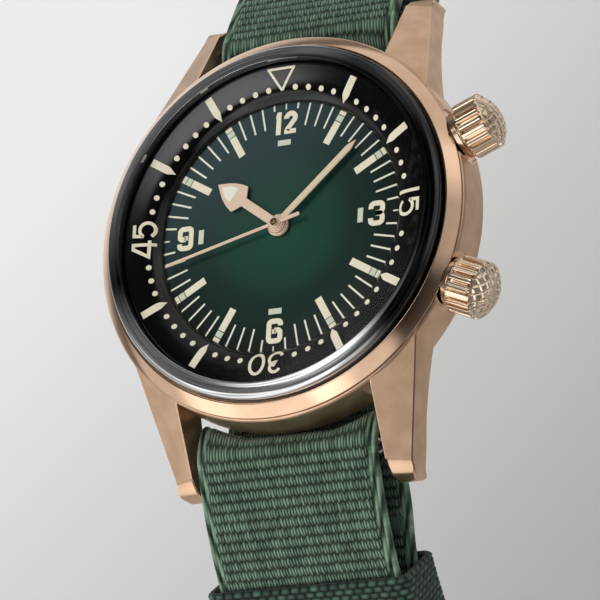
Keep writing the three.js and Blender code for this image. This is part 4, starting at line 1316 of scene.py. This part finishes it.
def blend_to_case(piece, body, mirror, start, end, *replaced, slot):
    """Bakes the piece's transform and hides the replaced parts; start and end are (y, z)."""
    points = [to_metres(0, mirror * y, z) for y, z in (start, end)]
    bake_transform(piece)
    if replaced:
        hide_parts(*replaced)


def press_to_case(piece):
    """Lets the turn over the bar follow the round of the case towards its two edges."""
    outer_y, low_z, run = 23.6, -8.6, 2.6
    middle_y, case_radius = 20.78, 21.32
    for vert in piece.data.vertices:
        x, y = abs(vert.co.x) * 1000, abs(vert.co.y) * 1000
        if y < outer_y and vert.co.z * 1000 - LIFT > low_z:
            gap = max(0.0, middle_y - sqrt(max(0.0, case_radius ** 2 - x * x)))
            moved = (y - gap * ease((outer_y - y) / run)) / 1000
            vert.co.y = copysign(moved, vert.co.y)


BUCKLE_END, TAIL_END = 68.0, 116.0
WRAP_START = -radians(WRAP_FROM - 70) * WRAP_RADIUS + 0.05
WRAP_BLEND = ((21.0, -6.3), (26.0, -8.3))
UNDER_BLEND = ((17.6, -11.8), (24.6, -13.0))

buckle_band = band("band_buckle_side", with_wrap(BUCKLE_LINE), WRAP_START, BUCKLE_END, WEB)
press_to_case(buckle_band)
blend_to_case(buckle_band, "buckle_half", 1, *WRAP_BLEND, slot="webbing")
tail_band = band("band_tail_side", with_wrap(TAIL_LINE), WRAP_START, TAIL_END, WEB, -1,
                 holes=HOLES, round_end=9.0, columns=46, step=0.19)
press_to_case(tail_band)
blend_to_case(tail_band, "tail_half", -1, *WRAP_BLEND, "strap_tail_half", slot="webbing")

# ------------------------------------------------------------------ fold round the buckle bar
BUCKLE_BAR = at(BUCKLE_LINE, BUCKLE_END + 1.9)


def on_bar(x, along, up):
    """Places a point in the frame of the buckle bar."""
    return on_frame(BUCKLE_BAR, x, along, up)


def on_frame(frame, x, along, up):
    _, y, z, angle = frame
    ca, sa = cos(radians(angle)), sin(radians(angle))
    return (x, y + along * ca + up * sa, z - along * sa + up * ca)


def fold_line():
    """Over the bar, round it, and back under the band."""
    turn_radius, first_angle, sweep = 1.62, 82, 196
    points = []
    for i in range(29):
        a = radians(first_angle - (i / 28) * sweep)
        points.append(on_bar(0, turn_radius * cos(a), turn_radius * sin(a))[1:])
    back_from, settle, sag = BUCKLE_END - 0.6, 2.5, 0.45
    for i in range(46):
        t = back_from - 0.25 * i
        up = -STRAP_THICK - CLEAR
        if back_from - t < settle:
            up -= sag * (1 - (back_from - t) / settle)
        points.append(section(BUCKLE_LINE, t)(0, up)[1:])
    return measured_line(points)


def fold():
    """The fold, with a slot for the tongue."""
    piece = whole_band("band_fold_loop", fold_line(), WEB, half=10.25)
    slot = [on_bar(x, y, z) for x in (-1.45, 1.45) for y in (-0.6, 3.8) for z in (-6, 6)]
    cut_away(piece, slot, [[0, 1, 3, 2], [4, 5, 7, 6], [0, 1, 5, 4],
                           [2, 3, 7, 6], [0, 2, 6, 4], [1, 3, 7, 5]])
    return piece


assign(fold(), "buckle_half", "strap_buckle_half", slot="webbing")

# ------------------------------------------------------------------ lower layers
UNDER_Y, UNDER_Z = 17.45, -11.8  # where the lower layer leaves the case
UNDER_GAP = 6.0  # depth below the band where the two lines part


def buckle_gap(t):
    return -(UNDER_GAP - (UNDER_GAP - STRAP_THICK - 0.12) * ease((t - 8) / 24))


def tail_gap(t):
    return -(UNDER_GAP - 1.6 * ease((t - 6) / 9))


def under_line(line, end, gap, start=4.2, steps=160):
    """A lead from under the case to a layer that follows the band at a gap."""
    run = []
    for i in range(steps + 1):
        t = start + (end - start) * i / steps
        run.append(section(line, t)(0, gap(t))[1:])
    y, z = run[0]
    lead = catmull([(UNDER_Y, UNDER_Z), (UNDER_Y + 2.5, UNDER_Z + 0.02),
                    (y - 2.0, z + 0.25), run[0]], 10)
    return measured_line(lead[:-1] + run)


blend_to_case(whole_band("under_band_buckle_side", under_line(BUCKLE_LINE, 44.0, buckle_gap),
                         WEB_SHADED, step=0.19),
              "buckle_half", 1, *UNDER_BLEND, "under_strap_buckle_side", slot="webbing_dark")
KEEPER_LINE = under_line(TAIL_LINE, 22.5, tail_gap)
blend_to_case(whole_band("under_band_keeper_side", KEEPER_LINE, WEB, -1, step=0.16),
              "tail_half", -1, *UNDER_BLEND, "under_strap_keeper_side", slot="webbing_dark")

# (y, z) from the -Y end to the middle
CASE_PASS = [(-21.45, -6.35), (-21.3, -7.6), (-20.6, -9.2), (-19.0, -10.25), (-17.0, -10.5),
             (-8, -10.5)]
case_pass = catmull(CASE_PASS + [(-y, z) for y, z in reversed(CASE_PASS)], 8)
assign(whole_band("band_under_case", measured_line(case_pass), WEB, step=0.19),
       "case", "strap_under_case", slot="webbing")
centre = [(-UNDER_Y + 2 * UNDER_Y * i / 40, UNDER_Z - 0.03) for i in range(41)]
assign(whole_band("under_band_centre", measured_line(centre), WEB_SHADED, step=0.19),
       "case", "under_strap_centre", slot="webbing_dark")


# ------------------------------------------------------------------ keeper
def resample(loop, step):
    """Splits a closed loop evenly; adds the length so far, and returns the whole length."""
    points, length = [], 0.0
    for p, q in zip(loop, loop[1:] + loop[:1]):
        side = dist(p[:2], q[:2])
        count = max(1, int(round(side / step)))
        for j in range(count):
            share = j / count
            point = [a + (b - a) * share for a, b in zip(p, q)]
            points.append((*point, length + side * share))
        length += side
    return points, length


def keeper():
    """A loop of coarse basket weave round the tail."""
    start, end, wall = 13.2, 24.5, 0.82
    outer, perimeter = resample(rounded_rect(11.62, -6.42, 1.66, 1.3, 10), 0.16)
    inner = [(x - nx * wall, z - nz * wall, nx, nz, s) for x, z, nx, nz, s in outer]
    cell = perimeter / round(perimeter / BASKET_CELL)
    rows, count = int((end - start) / 0.11), len(outer)
    verts, uvs, faces = [], [], []
    for i in range(rows + 1):
        t = start + (end - start) * i / rows
        place = section(TAIL_LINE, t, -1)
        row = int((t - start) / BASKET_ROW)
        across = abs(sin(pi * (((t - start) / BASKET_ROW) % 1.0))) ** 0.6
        edge = min(1.0, min(t - start, end - t) / 0.35)
        # the relief is weaker inside; both walls thin out at the two ends
        for loop, facing, share in ((outer, 1, 1), (inner, -1, 0.4)):
            for x, z, nx, nz, s in loop:
                height = abs(sin(pi * (s / cell + (row % 2) * 0.5))) ** 0.5 * across
                lift = (0.14 * height - 0.10) * share - (1 - edge) * 0.22
                verts.append(place(x + facing * nx * lift, z + facing * nz * lift))
                uvs.append((s, t - start))
    for i in range(rows):
        a, b = i * 2 * count, (i + 1) * 2 * count
        for k, (upper, lower) in enumerate(zip(bridge(a, b, count),
                                               bridge(a + count, b + count, count))):
            faces += [upper, lower]
    for a in (0, rows * 2 * count):
        faces += bridge(a, a + count, count)
    return build("keeper_band", verts, faces, BASKET, 80, uvs=uvs)


assign(keeper(), "tail_half", "keeper_loop", slot="webbing_dark")

# ------------------------------------------------------------------ sewing
# (share of half the length, share of the radius)
THREAD_RINGS = ((-1.0, 0.25), (-0.8, 0.8), (-0.4, 1.0), (0.4, 1.0), (0.8, 0.8), (1.0, 0.25))


def stitch(line, t, x, up, length, radius, mirror=1, across=False):
    """A thread on the upper face, or on the lower one where up is negative."""
    angle = radians(at(line, t)[3])
    facing = copysign(1, up)
    along = (1, 0, 0) if across else (0, mirror * cos(angle), -sin(angle))
    normal = (0, facing * mirror * sin(angle), facing * cos(angle))
    return section(line, t, mirror)(x, up), along, normal, length, radius


def threads(name, stitches):
    """Short rounded threads."""
    verts, faces = [], []
    for centre, along, normal, length, radius in stitches:
        along, normal = Vector(along).normalized(), Vector(normal).normalized()
        side = along.cross(normal)
        first = len(verts)
        for reach, size in THREAD_RINGS:
            sink = normal * (radius * (size - 1) * 0.9)
            middle = Vector(centre) + along * (length / 2 * reach) + sink
            verts += [tuple(middle + (side * cos(t) + normal * sin(t)) * radius * size)
                      for t in circle(8)]
        for i in range(5):
            faces += bridge(first + 8 * i, first + 8 * (i + 1), 8)
        faces += [[first + 8 * i + k for k in range(8)] for i in (0, 5)]
    return build(name, verts, faces, THREAD, 60)


def fold_stitches():
    """A rectangle of stitches on the band and on the folded layer under it."""
    start, end, half = 57.2, 66.0, 9.0
    faces = (0.60, -1.78)
    rows = [stitch(BUCKLE_LINE, t, -half + 2 * half * k / 29, up, 0.5, 0.13, across=True)
            for t in (start, end) for k in range(30) for up in faces]
    sides = [stitch(BUCKLE_LINE, start + 8.8 * k / 13, x, up, 0.55, 0.13)
             for k in range(14) for x in (-half, half) for up in faces]
    return rows + sides


assign(threads("fold_stitching", fold_stitches()), "buckle_half", slot="webbing")
tacks = [stitch(KEEPER_LINE, 12.0, x - 0.9 + 1.8 * k / 8, 0.60, 1.5, 0.12, mirror=-1)
         for x in (-8.6, 8.6) for k in range(9)]
assign(threads("under_band_bar_tacks", tacks), "tail_half", slot="webbing_dark")

# ------------------------------------------------------------------ metal rings
# (along the strap, inset of the surface): a softly crowned section
RING_SECTION = [(-1.6, 0.34), (-1.42, 0.12), (-1.1, 0.0), (0, -0.04), (1.1, 0.0),
                (1.42, 0.12), (1.6, 0.34)]


def metal_ring(node, t, low, high, inner_low, inner_high, body):
    """A rectangular ring round the strap at length t; the levels are its z limits."""
    frame = at(BUCKLE_LINE, t)
    outer = rounded_rect(11.95, low, high, 1.5)
    inner = rounded_rect(10.72, inner_low, inner_high, 0.45)
    count, rows = len(outer), len(RING_SECTION)
    verts, faces = [], []
    for loop, share in ((outer, 1), (inner, -0.5)):
        for along, inset in RING_SECTION:
            for k in range(count):
                x, z = loop[k][:2]
                before, after = loop[k - 1], loop[(k + 1) % count]
                nx, nz = after[1] - before[1], -(after[0] - before[0])
                size = hypot(nx, nz) or 1
                nx, nz = nx / size, nz / size
                if nx * x + nz * (z - (low + high) / 2) < 0:
                    nx, nz = -nx, -nz
                shift = inset * share
                verts.append(on_frame(frame, x - nx * shift, along, z - nz * shift))
    for wall in range(2):
        for j in range(wall * rows, (wall + 1) * rows - 1):
            faces += bridge(j * count, (j + 1) * count, count)
    for j in (0, rows - 1):
        faces += bridge(j * count, (rows + j) * count, count)
    piece = build(f"{node}_metal", verts, faces, FURNITURE, 40)
    assign(piece, body, node, slot="bronze")


metal_ring("sliding_ring", 49, -2.15, 3.6, -1.0, 2.5, "sliding_ring")
metal_ring("fixed_ring", 60, -3.2, 3.6, -2.1, 2.5, "buckle_half")

# ------------------------------------------------------------------ buckle
# (x, along the strap, corner radius) round the frame
BUCKLE_FRAME = [
    (-13.3, -1.5, 0.3), (-12.6, -2.0, 0.5), (-11.5, -1.5, 0.3), (-11.5, 0, 0.05),
    (-11.2, 0, 0.05), (-11.2, 9.0, 0.9), (-10.2, 10.0, 0.9), (10.2, 10.0, 0.9),
    (11.2, 9.0, 0.9), (11.2, 0, 0.05), (11.5, 0, 0.05), (11.5, -1.5, 0.3),
    (12.6, -2.0, 0.5), (13.3, -1.5, 0.3), (13.5, 9.5, 1.2), (12.2, 12.2, 1.2),
    (10.0, 12.9, 1.2), (-10.0, 12.9, 1.2), (-12.2, 12.2, 1.2), (-13.5, 9.5, 1.2)]
# (along, up) round the side of the tongue
TONGUE = [(0.5, 0.35), (1.2, -0.15), (3, 0.4), (9.2, 0.85), (12.6, 0.9), (13.2, 1.3),
          (12.6, 1.75), (9.0, 1.75), (3, 1.35), (0.4, 1.0)]


def tongue_eye():
    """The tongue's ring round the buckle bar."""
    profile = fillet([(0.6, -1.2), (0.98, -1.2), (0.98, 1.2), (0.6, 1.2)], 0.1, 3)
    count, around = len(profile), 40
    verts = [on_bar(x, r * cos(t), r * sin(t)) for t in circle(around) for r, x in profile]
    faces = []
    for i in range(around):
        faces += bridge(i * count, (i + 1) % around * count, count)
    return build("buckle_tongue_eye", verts, faces, FURNITURE)


assign(plate("buckle_frame_metal", filleted(BUCKLE_FRAME), -1.08, 1.08, on_bar, FURNITURE,
             edge=0.42, segments=4), "buckle", "buckle_frame", slot="bronze")
assign(plate("buckle_tongue_metal", fillet(TONGUE, 0.5), -0.6, 0.6,
             lambda along, up, x: on_bar(x, along, up), FURNITURE, edge=0.16),
       "tongue", "buckle_tongue", slot="bronze")
assign(tongue_eye(), "tongue", slot="bronze")

# ------------------------------------------------------------------ pieces kept from the CAD
NODE_GROUPS = (
    (RUBBER, "crystal_gasket case_back_gasket time_crown_seal bezel_crown_seal"),
    (HOLDER, "movement_ring"),
    (HAIRSPRING, "balance_spring"),
    (RHODIUM, "main_plate train_bridge winding_bridge balance_cock rotor"),
    (BRASS, "barrel great_wheel third_wheel fourth_wheel hour_wheel minute_wheel balance_wheel"),
)
NODE_MATERIALS = {name: material for material, names in NODE_GROUPS for name in names.split()}
for name, piece in NODES.items():
    if piece.hide_render:
        continue
    piece.data.materials.clear()
    piece.data.materials.append(NODE_MATERIALS.get(name, STEEL))
    weld = piece.modifiers.new("weld", "WELD")
    weld.merge_threshold = 1e-7
    if name != "balance_spring":
        bevel(piece, 0.03, 1, angle=35)


# ------------------------------------------------------------------ floor
def floor_paint():
    """Grey with painted light that brightens it towards -X +Y, and painted shade that darkens it
    far from the middle.
    """
    look = Surface("floor_pale")
    spots = look.noise(look.millimetres(), scale=0.02, detail=3.0)
    x, y, _ = look.split(look.millimetres())
    # painted light: brighter towards -X +Y
    painted_light_slope = look.remap(x * -0.0026 + y * 0.0032, to=(0.48, 0.86), span=(0.02, 0.44))
    # painted shade: darker far from the middle, which dims far reflections
    painted_far_shade = look.remap(look.radius(x, y), to=(1.0, 0.25), span=(260.0, 620.0))
    shade = painted_light_slope * painted_far_shade
    color = look.mix(spots * 0.04, look.combine(shade, shade, shade), (1, 1, 1, 1))
    return look.set(Base_Color=color, Roughness=0.9, Specular_IOR_Level=0.1)


def floor():
    """A square just under the model, in metres."""
    half, gap = 3.0, 0.0006
    z = min(CAD_BOX[0][2], CAD_BOX[1][2]) - gap
    mesh = bpy.data.meshes.new("floor")
    mesh.from_pydata([(-half, -half, z), (half, -half, z), (half, half, z), (-half, half, z)],
                     [], [[0, 1, 2, 3]])
    mesh.materials.append(floor_paint())
    new_object("floor", mesh)


floor()

# ------------------------------------------------------------------ world and lights
# direction, half angle and softness in degrees, strength
SOFT_LIGHTS = [
    ((-0.45, -0.76, 0.47), 26, 14, 1.05),
    ((-0.89, -0.41, 0.19), 18, 10, 0.42),
    ((0.18, -0.74, 0.64), 14, 10, 0.75),
    ((0.33, 0.90, 0.28), 30, 16, 0.5),
    ((0.75, 0.35, 0.56), 18, 14, 0.42),
    ((-0.2, 0.72, 0.66), 9, 8, 0.3),
    ((-0.31, 0.08, 0.95), 6, 9, 2.4),
]
# name, place in metres, side in metres, watts
PANELS = [("panel_left", (-0.55, 0.15, 0.75), 0.7, 4.8),
          ("panel_front", (0.1, -0.5, 0.7), 0.6, 1.4)]


def studio_world():
    """Soft round lights in the sky; the camera itself sees plain grey."""
    world = bpy.data.worlds.new("studio")
    bpy.context.scene.world = world
    world.use_nodes = True
    world.node_tree.nodes.clear()
    sky = Graph(world.node_tree)
    direction = sky.make("TexCoord", {}, "Generated")
    total = None
    for toward, half_angle, softness, strength in SOFT_LIGHTS:
        facing = sky.make("VectorMath", {0: direction, 1: Vector(toward).normalized()},
                          "Value", operation="DOT_PRODUCT")
        span = (cos(radians(half_angle + softness)), cos(radians(half_angle)))
        light = sky.step(facing, span=span) * strength
        total = light if total is None else total + light
    height = sky.split(direction)[2]
    total = total + sky.remap(height, to=(0.28, 0.02), span=(0.0, 0.75))
    lit = sky.make("Background", {"Color": (1.0, 0.995, 0.985, 1), "Strength": total})
    seen = sky.make("Background", {"Color": (0.72, 0.72, 0.73, 1), "Strength": 1.0})
    by_camera = sky.make("LightPath", {}, "Is Camera Ray")
    mixed = sky.make("MixShader", {0: by_camera, 1: lit, 2: seen})
    output = sky.tree.nodes.new("ShaderNodeOutputWorld")
    sky.feed(output.inputs[0], mixed)


def panel(name, location, size, watts):
    """A square light aimed at the origin and left out of reflections."""
    light = bpy.data.lights.new(name, "AREA")
    light.shape = "SQUARE"
    light.size = size
    light.energy = watts
    lamp = bpy.data.objects.new(name, light)
    lamp.location = location
    aim = Vector((0, 0, 0)) - Vector(location)
    lamp.rotation_euler = aim.to_track_quat("-Z", "Y").to_euler()
    lamp.visible_glossy = False
    bpy.context.scene.collection.objects.link(lamp)


studio_world()
for row in PANELS:
    panel(*row)

# ------------------------------------------------------------------ camera
CAMERA_PLACE = (0.17844317, -0.14000471, 0.33545871)
# axis times angle of the turn from world axes to a view with y down and z forward
CAMERA_TURN = Vector((2.7125625645, -0.0480589485, -0.6760424213))


def add_camera():
    camera = bpy.data.cameras.new("camera")
    camera.lens = 229.94
    camera.sensor_width = 36.0
    camera.clip_start = 0.01
    camera.clip_end = 50.0
    holder = new_object("camera", camera)
    turn = Matrix.Rotation(CAMERA_TURN.length, 3, CAMERA_TURN.normalized())
    # Blender's camera has y up and looks along -z
    flip = Matrix(((1, 0, 0), (0, -1, 0), (0, 0, -1)))
    holder.matrix_world = (Matrix.Translation(CAMERA_PLACE)
                           @ (turn.transposed() @ flip).to_4x4())
    bpy.context.scene.camera = holder


add_camera()
bpy.context.scene.view_settings.view_transform = "Standard"
bpy.context.scene.view_settings.look = "None"


bpy.context.view_layer.update()
